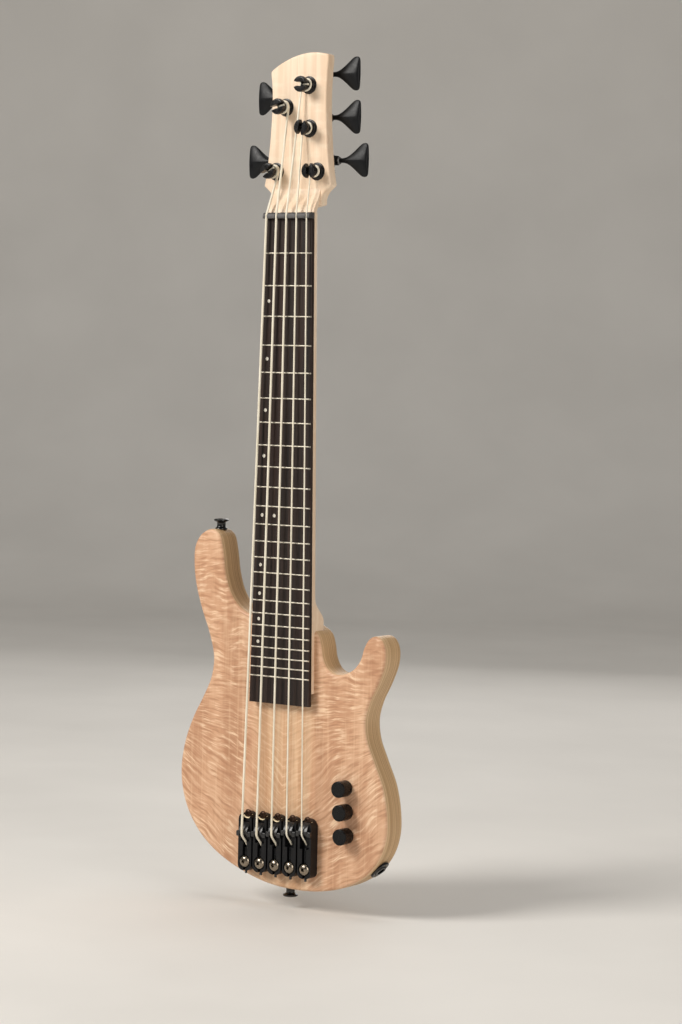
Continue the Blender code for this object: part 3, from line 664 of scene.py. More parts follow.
body_top = raw("top_plate", loft(edge_rings(FRONT_R, FACE_Y, FACE_Y + TOP_T, 1)))
tools = [raw("t", prism(neck_outline(0.06), FACE_Y - 5, FACE_Y + TOP_T + 5))]
for x, z in KNOBS:
    tools.append(raw("t", turned([(4.1, -6), (4.1, 12)], (x, FACE_Y, z), (0, 1, 0), 24)))
for i in range(5):
    tools.append(raw("t", turned([(2.0, -6), (2.0, 12)], ((i - 2) * BRIDGE_PITCH, FACE_Y, SCREW_Z), (0, 1, 0), 16)))
boolean(body_top, tools)
dress(body_top, M_TOP, slot="figured_top", replaces=("body_top",), sharp=30)

core = raw("body_back", loft(edge_rings(BACK_R, BACK_Y, FACE_Y + TOP_T + 0.02, -1, 9)))
COVER, BATTERY = rounded(inset(CAVITY, -3.7), 5.0), rounded(inset(BATTERY_CAVITY, -3.7), 4.0)
tools = [raw("t", prism(neck_outline(0.06), FACE_Y, HEEL_BOTTOM + 0.06)),
         raw("t", prism(rounded(CAVITY, 4.0), 17.0, BACK_Y + 5)),
         raw("t", prism(rounded(inset(CAVITY, -4.0), 5.3), BACK_Y - 2.3, BACK_Y + 5)),
         raw("t", prism(rounded(BATTERY_CAVITY, 3.0), 15.7, BACK_Y + 5)),
         raw("t", prism(rounded(inset(BATTERY_CAVITY, -4.0), 4.3), BACK_Y - 2.3, BACK_Y + 5))]
for x, z in KNOBS:
    tools.append(raw("t", turned([(4.1, -4), (4.1, 14)], (x, FACE_Y + TOP_T, z), (0, 1, 0), 24)))
for i in range(5):
    tools.append(raw("t", turned([(2.0, -4), (2.0, 7)], ((i - 2) * BRIDGE_PITCH, FACE_Y + TOP_T, SCREW_Z), (0, 1, 0), 16)))
tools.append(raw("t", turned([(6.3, -26), (6.3, 4)], JACK, JACK_DIR, 32)))
tools.append(raw("t", turned([(11.6, -0.6), (12.4, 8)], JACK, JACK_DIR, 64)))
tools.append(raw("t", turned([(5.5, 0.0), (5.5, 6)], STRAP_HORN, (0, 0, 1), 32)))
tools.append(raw("t", turned([(5.5, 0.0), (5.5, 6)], STRAP_TAIL, (0, 0, -1), 32)))
boolean(core, tools)
dress(core, M_SIDE, slot="body_wood", replaces=("body_core",), sharp=30)

piece("rear_control_cover", prism(COVER, BACK_Y - 2.0, BACK_Y - 0.1), M_PLASTIC, slot="cover_plastic", replaces=("control_cover",), bevel=(0.45, 3))
piece("rear_battery_cover", prism(BATTERY, BACK_Y - 2.0, BACK_Y - 0.1), M_PLASTIC, slot="cover_plastic", replaces=("battery_cover",), bevel=(0.45, 3))
spots = [(54, -477.2), (86, -477.2), (96.2, -513), (79, -552.6), (51, -556.5)]
for k, (x, z) in enumerate(spots):
    screw("control_cover_screw_%d" % (k + 1), (x, BACK_Y - 0.12, z), (0, 1, 0), 2.1, 0.9, M_NICKEL, "screw_nickel", spin=0.4 * k)
for k, (x, z) in enumerate([(3.6, -470.4), (32.4, -470.4), (32.4, -523.6), (3.6, -523.6)]):
    screw("battery_cover_screw_%d" % (k + 1), (x, BACK_Y - 0.12, z), (0, 1, 0), 2.1, 0.9, M_NICKEL, "screw_nickel", spin=0.7 * k + 0.2)

# ------------------------------------------------------------------ neck and headstock
ARC = 40


def neck_ring(z, half, y_top, depth, power):
    ring = [(-half, y_top, z), (0.0, y_top, z), (half, y_top, z)]
    for k in range(1, ARC):
        a = math.pi * k / ARC
        c, s = math.cos(a), math.sin(a)
        ring.append((half * math.copysign(abs(c) ** (2 / power), c), y_top + depth * abs(s) ** (2 / power), z))
    return ring


def neck_depth(z):
    return 13.8 + 3.2 * (-z) / 340.0


stations = [(34.0, 24.0, HEAD_FACE + 0.08, HEAD_BACK - 0.08, 6.0), (27.0, 24.4, HEAD_FACE + 0.08, HEAD_BACK - 0.08, 5.0),
            (23.0, 24.6, 11.2, 21.7, 4.0), (18.0, 24.7, 8.8, 20.6, 3.2), (13.0, 24.7, 5.6, 19.4, 2.8),
            (8.5, 24.7, 3.0, 18.6, 2.5), (5.4, 24.65, 2.0, 18.2, 2.4)]
rings = [neck_ring(z, half, y0, y1 - y0, p) for z, half, y0, y1, p in open_spline(stations, 5)]
rings.append(neck_ring(5.3, 24.65, NECK_TOP, 13.8, 2.4))
for k in range(28):
    z = -2.0 - 320.0 * k / 27
    rings.append(neck_ring(z, board_half(z), NECK_TOP, neck_depth(z), 2.4))
for z, depth, p in open_spline([(-322.0, neck_depth(-322.0), 2.4), (-334.0, 17.8, 3.0), (-341.0, HEEL_BOTTOM - NECK_TOP - 0.6, 7.0),
                                (-346.5, HEEL_BOTTOM - NECK_TOP, 20.0)], 4)[1:]:
    rings.append(neck_ring(z, board_half(z), NECK_TOP, depth, p))
rings.append(neck_ring(NECK_END, board_half(NECK_END), NECK_TOP, HEEL_BOTTOM - NECK_TOP, 20.0))
neck = raw("neck_and_headstock", loft(rings))
HEADLINE = []
for i, p in enumerate(HEAD):
    HEADLINE.append(p)
HEADLINE = spline(HEADLINE, 3)
head_rings = []
for k in range(7):
    a = math.pi / 2 * (1 - k / 6)
    head_rings.append((1.4 * (1 - math.cos(a)), HEAD_FACE + 1.4 * (1 - math.sin(a))))
for k in range(7):
    a = math.pi / 2 * (k / 6)
    head_rings.append((1.4 * (1 - math.cos(a)), HEAD_BACK - 1.4 * (1 - math.sin(a))))
boolean(neck, [raw("t", loft([[(x, y, z) for x, z in (inset(HEADLINE, d) if d > 1e-6 else HEADLINE)] for d, y in head_rings]))], "UNION")
tools = [raw("t", box(-3.4, 3.4, NECK_TOP - 4, 11.6, -384.0, -16.0))]
for x, z in POSTS:
    tools.append(raw("t", turned([(5.9, -4), (5.9, 16)], (x, HEAD_FACE, z), (0, 1, 0), 32)))
boolean(neck, tools)
dress(neck, M_NECK, slot="neck_wood", replaces=("neck",), sharp=32)

# ------------------------------------------------------------------ fingerboard, frets, markers, nut
rows = []
for k in range(43):
    z = BOARD_END * k / 42
    h = board_half(z)
    ring = [(-h, BOARD_T, z), (-h, 0.9, z), (-h + 0.12, 0.62, z), (-h + 0.4, 0.45, z)]
    ring += [(-h + 0.4 + (2 * h - 0.8) * j / 12, crown(-h + 0.4 + (2 * h - 0.8) * j / 12, z), z) for j in range(13)][1:-1]
    ring += [(h - 0.4, 0.45, z), (h - 0.12, 0.62, z), (h, 0.9, z), (h, BOARD_T, z)]
    rows.append(ring)
piece("fingerboard_plank", loft(rows), M_BOARD, slot="fingerboard_wood", replaces=("fingerboard",), sharp=40)

for k in range(1, FRETS + 1):
    z = fret_z(k)
    h = board_half(z) - 0.15
    prof = [(0.72 * math.cos(math.radians(a)), 1.02 * math.sin(math.radians(a)) ** 0.9) for a in range(0, 181, 15)]
    rings = []
    n_st = 17
    for j in range(n_st):
        f = j / (n_st - 1)
        x = -h + 2 * h * f
        row = []
        for dz, up in prof:
            pull = 0.75 * (up / 1.02)
            xx = x + (pull if j == 0 else -pull if j == n_st - 1 else 0.0)
            row.append((xx, crown(xx, z) - up * (0.96 if j in (0, n_st - 1) else 1.0), z + dz))
        row += [(x, crown(x, z) + 0.25, z - 0.72), (x, crown(x, z) + 0.25, z - 0.25), (x, crown(x, z) + 1.8, z - 0.25),
                (x, crown(x, z) + 1.8, z + 0.25), (x, crown(x, z) + 0.25, z + 0.25), (x, crown(x, z) + 0.25, z + 0.72)]
        rings.append(row)
    piece("fret_%02d" % k, loft(rings), M_FRET, slot="screw_nickel", sharp=50)


def string_x(i, z):
    return (i - 2) * (NUT_PITCH + (BRIDGE_PITCH - NUT_PITCH) * (-z) / 538.0)


dots = []
for k in (3, 5, 7, 9, 12, 15, 17, 19, 21):
    z = (fret_z(k) + fret_z(k - 1)) / 2
    pairs = ((0, 1), (1, 2)) if k == 12 else ((0, 1),)
    for a, b in pairs:
        dots.append((k, (string_x(a, z) + string_x(b, z)) / 2 - 2.2, z))
for m, (k, x, z) in enumerate(dots):
    y = crown(x, z)
    piece("marker_dot_%02d" % (m + 1), turned([(0, -0.07), (1.0, -0.065), (1.45, -0.04), (1.55, 0.0), (1.55, 1.2), (0, 1.2)], (x, y, z), (0, 1, 0), 28),
          M_DOT, slot="string_white")
for k in (3, 5, 7, 9, 12, 15, 17, 19, 21):
    z = (fret_z(k) + fret_z(k - 1)) / 2
    for m, dz in enumerate((-3.0, 3.0) if k == 12 else (0.0,)):
        piece("side_dot_%02d%s" % (k, "ab"[m] if k == 12 else ""), turned([(0, -0.05), (0.8, -0.04), (0.95, 0.0), (0.95, 1.0), (0, 1.0)],
              (-board_half(z + dz), 2.1, z + dz), (1, 0, 0), 18), M_DOT, slot="string_white")

prof = [(0.05, NECK_TOP - 0.04), (0.05, -3.9), (0.25, -4.15), (0.7, -4.3), (2.6, -4.2), (4.0, -3.7), (4.8, -2.9), (5.0, -2.3), (5.0, NECK_TOP - 0.04)]
nut = raw("nut_block", loft([[(x, y, z) for z, y in prof] for x in (-24.4, -8.0, 8.0, 24.4)]))
tools = []
for i in range(5):
    x, r = (i - 2) * NUT_PITCH, STRING_R[i] + 0.08
    px, pz = POSTS[i]
    y0 = -NUT_CLEAR - STRING_R[i]
    rings = []
    for z, dy, dx in ((-2.0, 0.0, 0.0), (2.2, 0.0, 0.0), (9.0, 1.7, (px - SIDES[i] * 5.5 - x) * 0.17)):
        ring = [(x + dx + r * math.cos(math.pi * k / 12), y0 + dy + r * math.sin(math.pi * k / 12), z) for k in range(13)]
        ring += [(x + dx - r, y0 + dy - 6.0, z), (x + dx + r, y0 + dy - 6.0, z)]
        rings.append(ring)
    tools.append(raw("t", loft(rings)))
boolean(nut, tools)
dress(nut, M_NUT, slot="nut_material", replaces=("nut",), bevel=(0.18, 2))

# ------------------------------------------------------------------ bridge units
for i in range(5):
    n = i + 1
    x = (i - 2) * BRIDGE_PITCH
    w = 7.1
    line = [(x + w * math.cos(math.radians(a)), -525.6 + w * math.sin(math.radians(a))) for a in range(0, 181, 6)]
    line += [(x + w * math.copysign(abs(math.cos(math.radians(a))) ** 0.75, math.cos(math.radians(a))), -565.1 + 5.4 * math.sin(math.radians(a)))
             for a in range(180, 361, 6)]
    base = raw("bridge_unit_base_%d" % n, prism(line, -2.0, FACE_Y - 0.02))
    tools = [raw("t", turned([(7.6, -8.0), (5.9, 0.0), (5.9, 2.7)], (x, 0.0, -518.6), (0, 1, 0), 56)),
             raw("t", box(x - 9, x + 9, -8, 2.7, -519.4, -510.0)),
             raw("t", box(x - 4.75, x + 4.75, -8, 2.7, -544.5, -521.0)),
             raw("t", box(x - 2.15, x + 2.15, -8, 2.7, -559.0, -543.0)),
             raw("t", turned([(5.85, -4), (5.85, 2.4)], (x, -2.0, SCREW_Z), (0, 1, 0), 40)),
             raw("t", box(x - 1.3, x + 1.3, -8, 1.2, -574.0, -565.0))]
    boolean(base, tools)
    dress(base, M_BRIDGE, slot="bridge_black", replaces=("bridge_base_%d" % n,), bevel=(0.38, 2))
    screw("bridge_unit_screw_%d" % n, (x, -0.1, SCREW_Z), (0, -1, 0), 5.5, 4.0, M_NICKEL, "screw_nickel", spin=0.35 + 0.5 * i,
          replaces=("bridge_screw_%d" % n,), shank=(1.75, 1.1, 18.0), recess=0.27)
    screw("bridge_tab_screw_%d" % n, (x, 2.66, -520.2), (0, -1, 0), 3.6, 1.5, M_BRONZE, "screw_nickel", spin=0.9 + 0.7 * i)
    # cream crescent on the lower lip of the tab's recess: a painted highlight standing in for the edge lit from above
    highlight_lip_rows = []
    for k in range(21):
        a = math.radians(212 + 132 * k / 20)
        c, q = math.cos(a), math.sin(a)
        wide = 0.25 + 0.65 * math.sin(math.pi * k / 20)
        highlight_lip_rows.append([(x + rr * c, y, -519.2 + rr * q) for rr, y in ((5.25 - wide, 1.6), (5.25, 0.95), (5.25, 2.68), (5.25 - wide, 2.68))])
    piece("bridge_tab_highlight_lip_%d" % n, loft(highlight_lip_rows), M_LIP_HIGHLIGHT, slot="screw_nickel", sharp=30)
    piece("bridge_tail_stud_%d" % n, thread((x, 0.9, -569.4), (0, 0, -1), 1.05, 1.3, 0.7, 0.0, 3.6, 16, 5), M_SADDLE, slot="saddle_black")

    rear = BEND_Z[i] - 1.9
    shape = [(rear, 2.35), (rear, -1.2), (rear + 0.5, -2.6), (rear + 1.2, -3.6), (rear + 2.2, -4.5), (rear + 3.4, -5.2), (rear + 4.2, -5.42), (rear + 4.8, -5.46),
             (rear + 5.3, -5.3), (rear + 6.2, -4.95), (rear + 7.2, -4.5), (rear + 8.2, -4.0), (rear + 9.2, -3.35), (rear + 10.2, -2.5), (rear + 11.2, -1.45),
             (rear + 12.1, -0.4), (rear + 12.5, 0.2), (rear + 12.2, 0.7), (rear + 4.5, 0.7), (rear + 4.5, 2.35)]
    eased = inset(shape, 0.35)
    saddle = raw("bridge_unit_saddle_%d" % n, loft([[(x + e, y, z) for z, y in q] for e, q in ((-4.5, eased), (-4.38, inset(shape, 0.11)), (-4.15, shape),
                                                                                        (4.15, shape), (4.38, inset(shape, 0.11)), (4.5, eased))]))
    bar = [(rear - 0.1, -2.12), (rear - 0.1, -3.5), (rear + 0.3, -4.3), (rear + 1.0, -4.75), (rear + 4.2, -4.75), (rear + 4.75, -4.45), (rear + 5.0, -3.8), (rear + 5.0, -2.12)]
    wings = ([], [])
    for e in (-1, 1):
        wv, wf = loft([[(x + e * d, y, z) for z, y in q] for d, q in ((4.2, bar), (7.3, bar), (7.52, inset(bar, 0.12)), (7.6, inset(bar, 0.3)))])
        if e < 0:
            wf = [tuple(reversed(f)) for f in wf]
        wings[1].extend(tuple(k + len(wings[0]) for k in f) for f in wf)
        wings[0].extend(wv)
    piece("bridge_saddle_bar_%d" % n, wings, M_SADDLE, body="saddle_%d" % n, slot="saddle_black", sharp=38)
    dress(saddle, M_SADDLE, body="saddle_%d" % n, slot="saddle_black", replaces=("bridge_saddle_%d" % n,), sharp=38)
    piece("bridge_saddle_rod_%d" % n, thread((x, 0.75, rear - 9.9), (0, 0, -1), 1.35, 1.85, 1.0, 0.0, rear - 9.9 + 556.6, 20, 6), M_BRIDGE,
          slot="bridge_black")

# ------------------------------------------------------------------ strings
for i in range(5):
    r, s = STRING_R[i], SIDES[i]
    px, pz = POSTS[i]
    xb, xn, b = (i - 2) * BRIDGE_PITCH, (i - 2) * NUT_PITCH, BEND_Z[i]
    ys, yn = -SADDLE_CLEAR - r, -NUT_CLEAR - r
    path = [(xb, 2.5 - r, b - 9.3), (xb, 1.0 - 0.4 * r, b - 8.1), (xb, 0.0, b - 7.1)]
    path += open_spline([(xb, ys + 5.2, b - 5.6), (xb, ys + 2.5, b - 2.9), (xb, ys + 0.85, b - 0.9), (xb, ys + 0.12, b + 0.9), (xb, ys, b + 2.8)], 4)
    for k in range(1, 12):
        f = k / 12
        path.append((xb + (xn - xb) * f, ys + (yn - ys) * f, (b + 2.8) * (1 - f) + 0.8 * f))
    wrap = POST_WAIST + 0.04 + r
    y_low = 9.15 - r
    d = Vector((px - xn, pz - 2.6))
    lead = math.asin(wrap / d.length)
    ang = math.atan2(d.y, d.x) + s * lead
    reach = math.sqrt(d.length_squared - wrap * wrap)
    tx, tz = xn + math.cos(ang) * reach, 2.6 + math.sin(ang) * reach
    a0 = math.atan2(tz - pz, tx - px)
    dirn = Vector((tx - xn, y_low - yn, tz - 2.6))
    path += open_spline([(xn, yn, 0.8), (xn, yn + 0.02, 2.0), (xn + dirn.x * 0.035, yn + 0.16, 2.6 + dirn.z * 0.035),
                         (xn + dirn.x * 0.075, yn + dirn.y * 0.062, 2.6 + dirn.z * 0.075)], 4)
    for k in range(1, 6):
        f = 0.075 + 0.925 * k / 5.2
        path.append((xn + dirn.x * f, yn + dirn.y * f, 2.6 + dirn.z * f))
    turns = (1.15, 1.15, 1.1, 1.1, 2.1)[i]
    pitch = 2 * r + 0.05
    steps = int(28 * turns)
    y_end = y_low
    for k in range(steps + 1):
        f = k / 28.0
        a = a0 - s * 2 * math.pi * f
        y_end = y_low - pitch * max(0.0, f - 0.12)
        y_end = max(y_end, 2.25 + r)
        path.append((px + wrap * math.cos(a), y_end, pz + wrap * math.sin(a)))
    piece("string_strand_%d" % (i + 1), tube(path, r, 16), M_STRING, slot="string_white", replaces=("string_%d" % (i + 1),), sharp=60)
    # the cut end, lying in the post's slot and turned down into its centre hole
    q = min(r, 1.0)
    sa = math.radians(SLOT_ANGLE[i])
    out = Vector((math.cos(sa), 0, math.sin(sa)))
    if i >= 2:
        out = out * (1 if i == 2 else -1)
    c = Vector((px, 0, pz))
    low = 1.2 if i < 2 else 3.2
    tip = [c + out * (wrap + 0.1) + Vector((0, low + 1.2, 0)), c + out * (wrap - 1.0) + Vector((0, low + 0.3, 0)), c + out * 2.6 + Vector((0, low, 0)),
           c + out * 1.1 + Vector((0, low, 0)), c + out * 0.1 + Vector((0, low + 0.5, 0)), c + Vector((0, low + 1.4, 0))]
    piece("string_tail_%d" % (i + 1), tube(open_spline([tuple(t) for t in tip], 4), q, 14), M_STRING, body="post_%d" % (i + 1), slot="string_white", sharp=60)

# ------------------------------------------------------------------ tuners
GRIP = ((-10.6, 2.0, 2.0, 2.0), (-10.3, 2.1, 2.1, 2.0), (7.0, 2.1, 2.1, 2.0), (15.2, 2.1, 2.1, 2.0), (17.2, 2.35, 2.3, 2.0), (19.5, 3.0, 2.75, 1.9), (22.5, 4.6, 3.2, 1.7),
        (27.0, 7.9, 3.5, 1.45), (31.5, 11.6, 3.5, 1.35), (35.0, 14.0, 3.3, 1.35), (37.6, 14.6, 3.0, 1.4), (39.6, 14.2, 2.5, 1.5), (40.7, 13.2, 1.8, 1.6), (41.2, 12.0, 0.9, 1.7))
for i in range(5):
    n = i + 1
    px, pz = POSTS[i]
    s = SIDES[i]
    piece("tuner_bushing_ring_%d" % n, turned(
        [(4.6, -2.7), (5.5, -2.72), (6.1, -2.55), (6.5, -2.2), (6.62, -1.7), (6.62, -1.15), (6.8, -0.98), (7.35, -0.92), (7.62, -0.72), (7.7, -0.45),
         (7.7, -0.04), (5.8, -0.02), (5.8, 4.0), (4.6, 4.0)], (px, HEAD_FACE, pz), (0, 1, 0), 48, closed=True),
        M_BLACK, slot="tuner_black", replaces=("tuner_bushing_%d" % n,), sharp=40)
    post = raw("tuner_string_post_%d" % n, turned(
        [(0, 6.5), (1.9, 6.5), (1.9, 0.3), (2.15, 0.05), (5.5, 0.0), (6.1, 0.12), (6.6, 0.5), (6.85, 1.15), (6.85, 3.9), (6.65, 4.5), (6.1, 4.95), (5.2, 5.15),
         (4.35, 5.3), (4.0, 5.8), (4.0, 30.15), (3.2, 30.2), (3.2, 33.6), (2.9, 34.0), (0, 34.0)],
        (px, POST_TOP, pz), (0, 1, 0), 48))
    a = math.radians(SLOT_ANGLE[i])
    u, v = Vector((math.cos(a), 0, math.sin(a))), Vector((-math.sin(a), 0, math.cos(a)))
    c = Vector((px, 0, pz))
    flare = 2.2 if i < 2 else 3.8
    cuts = [[(-9.0, 1.7), (9.0, 1.7)], [(3.4, 1.7), (9.0, flare)], [(-3.4, 1.7), (-9.0, flare)]]
    deep = 4.4 if i < 2 else 5.2
    tools = []
    for k, ((p0, h0), (p1, h1)) in enumerate(cuts):
        floor = POST_TOP + 3 + (deep if k == 0 else 2.9)
        rings = []
        for y in (POST_TOP - 3, floor):
            rings.append([tuple(c + u * p + v * h + Vector((0, y, 0))) for p, h in ((p0, -h0), (p1, -h1), (p1, h1), (p0, h0))])
        tools.append(raw("t", loft(rings)))
    boolean(post, tools)
    dress(post, M_BLACK, body="post_%d" % n, slot="tuner_black", replaces=("tuner_post_%d" % n,), bevel=(0.16, 2))
    teeth = []
    for k in range(20):
        for da, rr in ((-6.6, 5.45), (-4.0, 5.6), (-2.2, 6.35), (2.2, 6.35), (4.0, 5.6)):
            t = math.radians(18 * k + da)
            teeth.append((px + rr * math.cos(t), pz + rr * math.sin(t)))
    piece("tuner_gear_%d" % n, prism(teeth, POST_TOP + 30.2, POST_TOP + 33.6), M_STEEL, body="post_%d" % n, slot="tuner_black", bevel=(0.12, 1))
    screw("tuner_gear_screw_%d" % n, (px, POST_TOP + 33.55, pz), (0, 1, 0), 2.6, 0.75, M_NICKEL, "screw_nickel", body="post_%d" % n, spin=0.5 * i)

    plate = raw("tuner_base_plate_%d" % n, prism(rounded([(px - 9.8, pz - 8.0), (px + 9.8, pz - 8.0), (px + 9.8, pz + 15.4), (px - 9.8, pz + 15.4)], 2.6),
                                                 HEAD_BACK + 0.02, HEAD_BACK + 1.9))
    lugs = []
    zc = pz + SHAFT_RISE
    for e in (-1, 1):
        lug = [(zc + 4.1 * math.cos(math.radians(t)), SHAFT_Y + 4.1 * math.sin(math.radians(t))) for t in range(0, 181, 10)]
        lug += [(zc - 4.1, HEAD_BACK + 1.0), (zc + 4.1, HEAD_BACK + 1.0)]
        lugs.append(raw("t", loft([[(px + e * 8.6 + dx, y, z) for z, y in lug] for dx in (-1.2, 1.2)])))
    boolean(plate, lugs, "UNION")
    boolean(plate, [raw("t", turned([(4.4, -4), (4.4, 4)], (px, HEAD_BACK + 1, pz), (0, 1, 0), 32)),
                    raw("t", turned([(2.4, -14), (2.4, 14)], (px, SHAFT_Y, zc), (1, 0, 0), 24))])
    dress(plate, M_BLACK, slot="tuner_black", replaces=("tuner_plate_%d" % n,), bevel=(0.3, 2))
    for k, (dx, dz) in enumerate(((-7.2, -5.4), (7.2, -5.4), (-4.6, 13.2), (4.6, 13.2))):
        screw("tuner_plate_screw_%d_%d" % (n, k + 1), (px + dx, HEAD_BACK + 1.88, pz + dz), (0, 1, 0), 1.6, 0.8, M_NICKEL, "screw_nickel", spin=0.8 * k + i)

    prof = open_spline(GRIP[3:], 5)
    prof = [tuple(p) for p in GRIP[:3]] + [tuple(p) for p in prof]

    def shape(k, a, prof=prof):
        _, hz, hy, p = prof[k]
        cz, cy = math.cos(a), math.sin(a)
        return (hz * math.copysign(abs(cz) ** (2 / p), cz), hy * math.copysign(abs(cy) ** (2 / p), cy))
    piece("tuner_button_grip_%d" % n, turned([(1, p[0]) for p in prof], (px, SHAFT_Y, zc), (s, 0, 0), 40, shape=shape),
          M_BUTTON, body="button_%d" % n, slot="button_black", replaces=("tuner_button_%d" % n,), sharp=50)
    piece("tuner_worm_%d" % n, thread((px, SHAFT_Y, zc), (s, 0, 0), 2.5, 3.35, 1.98, -6.6, 6.6, 28, 8), M_STEEL, body="button_%d" % n, slot="tuner_black", sharp=60)
    piece("tuner_collar_%d" % n, turned([(2.1, 10.0), (3.0, 10.0), (3.3, 10.3), (3.3, 11.5), (3.0, 11.9), (2.1, 12.3)], (px, SHAFT_Y, zc), (s, 0, 0), 32),
          M_STEEL, body="button_%d" % n, slot="tuner_black")

# ------------------------------------------------------------------ controls
for i, (x, z) in enumerate(KNOBS):
    n = i + 1
    top = FACE_Y - 0.5 - 12.4
    knob = raw("control_knob_%d" % n, turned(
        [(0, 0.28), (5.9, 0.28), (6.05, 0.05), (6.35, 0.0), (6.8, 0.18), (7.05, 0.6), (7.1, 1.1), (7.1, 11.7), (7.0, 12.15), (6.8, 12.4), (3.4, 12.4), (3.4, 4.0), (0, 4.0)],
        (x, top, z), (0, 1, 0), 72))
    a = math.radians((-2.0, 65.0, -38.0)[i])
    out = Vector((math.cos(a), 0, math.sin(a)))
    c = Vector((x, top + 8.6, z))
    boolean(knob, [raw("t", turned([(1.25, 0), (1.25, 6)], tuple(c + out * 4.6), tuple(out), 20))])
    dress(knob, M_KNOB, body="knob_%d" % n, slot="knob_black", replaces=("knob_%d" % n,), sharp=42)
    piece("knob_set_screw_%d" % n, turned([(1.12, 0.0), (1.2, 0.1), (1.2, 1.7), (1.05, 1.9), (0.62, 1.9), (0.6, 0.9), (0, 0.9), (0, 0.0)][0:7] + [(0, 0.88)][0:0],
                                          tuple(c + out * 4.7), tuple(out), 18), M_NICKEL, body="knob_%d" % n, slot="screw_nickel")

# ------------------------------------------------------------------ jack
jn, ju, jv = frame_of(JACK_DIR)
jc = Vector(JACK)


def jack_ring(grow, t):
    ring = []
    for k in range(64):
        a = 2 * math.pi * k / 64
        ring.append(tuple(jc + jn * t + ju * ((9.6 + grow) * math.copysign(abs(math.cos(a)) ** 0.8, math.cos(a)))
                          + jv * ((7.0 + grow) * math.copysign(abs(math.sin(a)) ** 0.8, math.sin(a)))))
    return ring


plate = raw("output_jack_plate", loft([jack_ring(0, -0.55), jack_ring(0, 0.7), jack_ring(-0.15, 1.0), jack_ring(-0.4, 1.2), jack_ring(-0.8, 1.3)]))
boolean(plate, [raw("t", turned([(5.0, -4), (5.0, 6)], JACK, JACK_DIR, 40))])
dress(plate, M_GLOSS, slot="jack_plate_black", replaces=("jack_plate",), sharp=30)
piece("output_jack_sleeve", turned([(0, -18.0), (3.3, -18.0), (3.3, 1.6), (3.55, 2.1), (3.8, 2.2), (4.4, 2.15), (4.7, 1.8), (4.7, -20.6), (4.4, -21.0), (0, -21.0)],
                                   JACK, JACK_DIR, 40), M_BLACK, slot="jack_metal", replaces=("output_jack",), sharp=40)
piece("output_jack_nut", turned([(4.78, 1.25), (5.9, 1.25), (5.9, 1.9), (5.6, 2.2), (4.78, 2.2)], JACK, JACK_DIR, 6, closed=True), M_STEEL, slot="jack_metal", bevel=(0.12, 2))
for k, e in enumerate((-1, 1)):
    screw("output_jack_screw_%d" % (k + 1), tuple(jc + jn * 1.1 + ju * (e * 7.7)), JACK_DIR, 1.25, 0.7, M_NICKEL, "screw_nickel", spin=0.6 + k)

# ------------------------------------------------------------------ strap buttons
for name, node, c, axis in (("strap_pin_horn", "strap_button_horn", STRAP_HORN, (0, 0, 1)), ("strap_pin_tail", "strap_button_tail", STRAP_TAIL, (0, 0, -1))):
    body = raw(name, turned([(0, 0.05), (5.3, 0.05), (5.4, 0.3), (5.35, 1.0), (4.9, 1.5), (4.3, 1.9), (3.95, 2.5), (3.85, 3.5), (3.9, 5.4), (4.2, 6.1), (5.2, 6.8),
                             (6.3, 7.3), (6.7, 7.7), (6.7, 8.35), (6.45, 8.8), (5.8, 9.15), (4.7, 9.38), (3.3, 9.4), (3.1, 8.9), (0, 8.9)], c, axis, 48))
    dress(body, M_GLOSS, slot="strap_button_black", replaces=(node,), sharp=40)
    screw(name + "_screw", tuple(Vector(c) + Vector(axis) * 8.55), axis, 2.9, 0.8, M_BRONZE, "screw_nickel", spin=0.5)

# ------------------------------------------------------------------ inner pieces keep their CAD shapes
for node, look in (("truss_rod", M_STEEL), ("battery", M_GLOSS), ("preamp_board", M_PCB), ("pot_1", M_POT), ("pot_2", M_POT), ("pot_3", M_POT)):
    o = frame["nodes"][node]
    if not o.data.materials:
        o.data.materials.append(look)
    for k in range(len(o.data.materials)):
        o.data.materials[k] = look

# ------------------------------------------------------------------ floor, light and camera
floor_z = world((0, 0, -592.6)).z - 0.010
pts = [(-6.0, floor_z), (2.8, floor_z)] + [(2.8 + 1.2 * math.sin(math.radians(a)), floor_z + 1.2 * (1 - math.cos(math.radians(a)))) for a in range(5, 91, 5)] + [(4.0, floor_z + 8.0)]
fv, ff = [], []
for k, (y, z) in enumerate(pts):
    fv += [(-7.0, y, z), (7.0, y, z)]
    if k:
        ff.append((2 * k - 2, 2 * k - 1, 2 * k + 1, 2 * k))
mesh = bpy.data.meshes.new("studio_floor")
turn = math.radians(34.3)
mesh.from_pydata([(x * math.cos(turn) - y * math.sin(turn), x * math.sin(turn) + y * math.cos(turn), z) for x, y, z in fv], [], ff)
floor = bpy.data.objects.new("studio_floor", mesh)
bpy.context.scene.collection.objects.link(floor)
n = Look("studio_paper", Specular_IOR_Level=0.2)
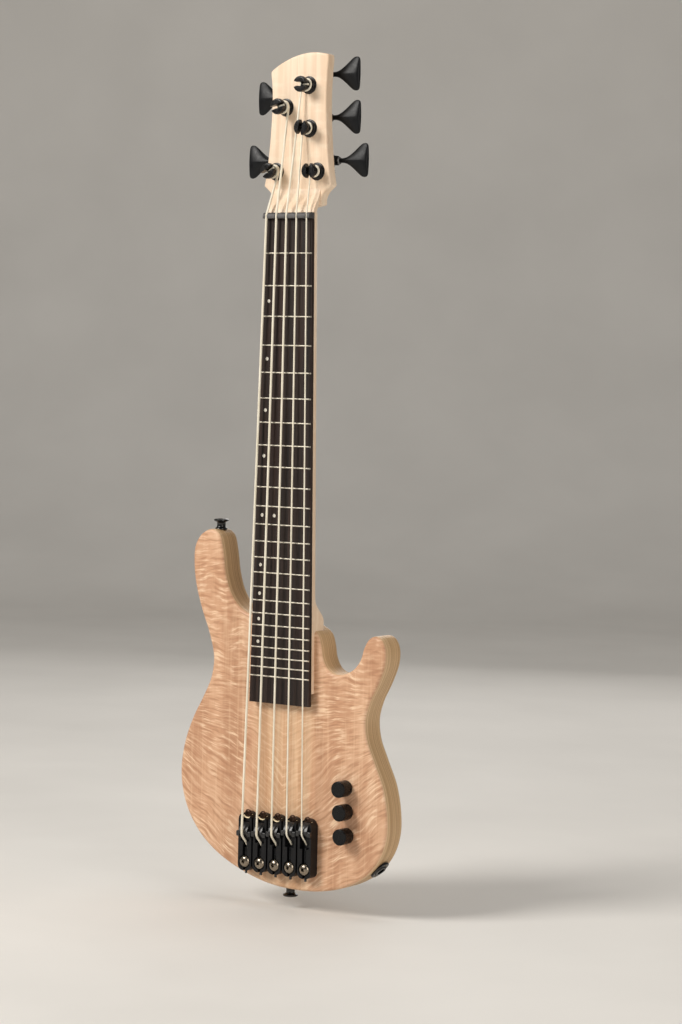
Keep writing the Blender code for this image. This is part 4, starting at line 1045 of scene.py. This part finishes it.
cloud = n.noise(n.scaled(0.004, 0.004, 0.004), 1.0, 3.0)
floor.data.materials.append(n.done(n.ramp(cloud, [(0.3, srgb(226, 223, 218)), (0.7, srgb(233, 230, 225))]), n.fit(cloud, 0.3, 0.7, 0.75, 0.85)))
mesh.shade_smooth()


def area(name, where, target, size, power, colour):
    data = bpy.data.lights.new(name, "AREA")
    data.shape, data.size, data.size_y = "RECTANGLE", size[0], size[1]
    data.energy, data.color = power, colour
    o = bpy.data.objects.new(name, data)
    bpy.context.scene.collection.objects.link(o)
    o.location = where
    o.rotation_mode = "QUATERNION"
    o.rotation_quaternion = (Vector(target) - Vector(where)).to_track_quat("-Z", "Y")
    return o


MID = (0.0, 0.0, -0.25)
area("key_light", (-1.1, -2.0, 1.2), MID, (1.05, 1.05), 62.0, (1.0, 0.968, 0.925))
area("fill_light", (2.4, -1.0, 0.35), MID, (1.4, 1.8), 24.0, (1.0, 0.955, 0.90))
area("top_light", (0.2, 0.3, 2.4), (0.2, 0.3, 0.0), (1.8, 1.8), 20.0, (1.0, 0.98, 0.95))
area("back_light", (-0.8, 1.9, 0.45), (0.0, 0.0, 0.45), (1.0, 1.0), 7.0, (1.0, 0.98, 0.96))

world_data = bpy.data.worlds.new("studio")
bpy.context.scene.world = world_data
world_data.use_nodes = True
bg = world_data.node_tree.nodes["Background"]
bg.inputs[0].default_value = (0.92, 0.90, 0.87, 1.0)
bg.inputs[1].default_value = 0.16
bpy.context.scene.view_settings.view_transform = "Standard"

cam_data = bpy.data.cameras.new("camera")
cam_data.sensor_width = 36.0
cam_data.lens = 101.834
cam_data.clip_start, cam_data.clip_end = 0.05, 50.0
cam = bpy.data.objects.new("camera", cam_data)
bpy.context.scene.collection.objects.link(cam)
from mathutils import Matrix
rot = Matrix(((0.82532, -0.04839, 0.56258), (0.56425, 0.03243, -0.82497), (0.02167, 0.9983, 0.05407)))
cam.matrix_world = Matrix.Translation((1.4549, -2.0603, -0.1386)) @ rot.to_4x4()
bpy.context.scene.camera = cam
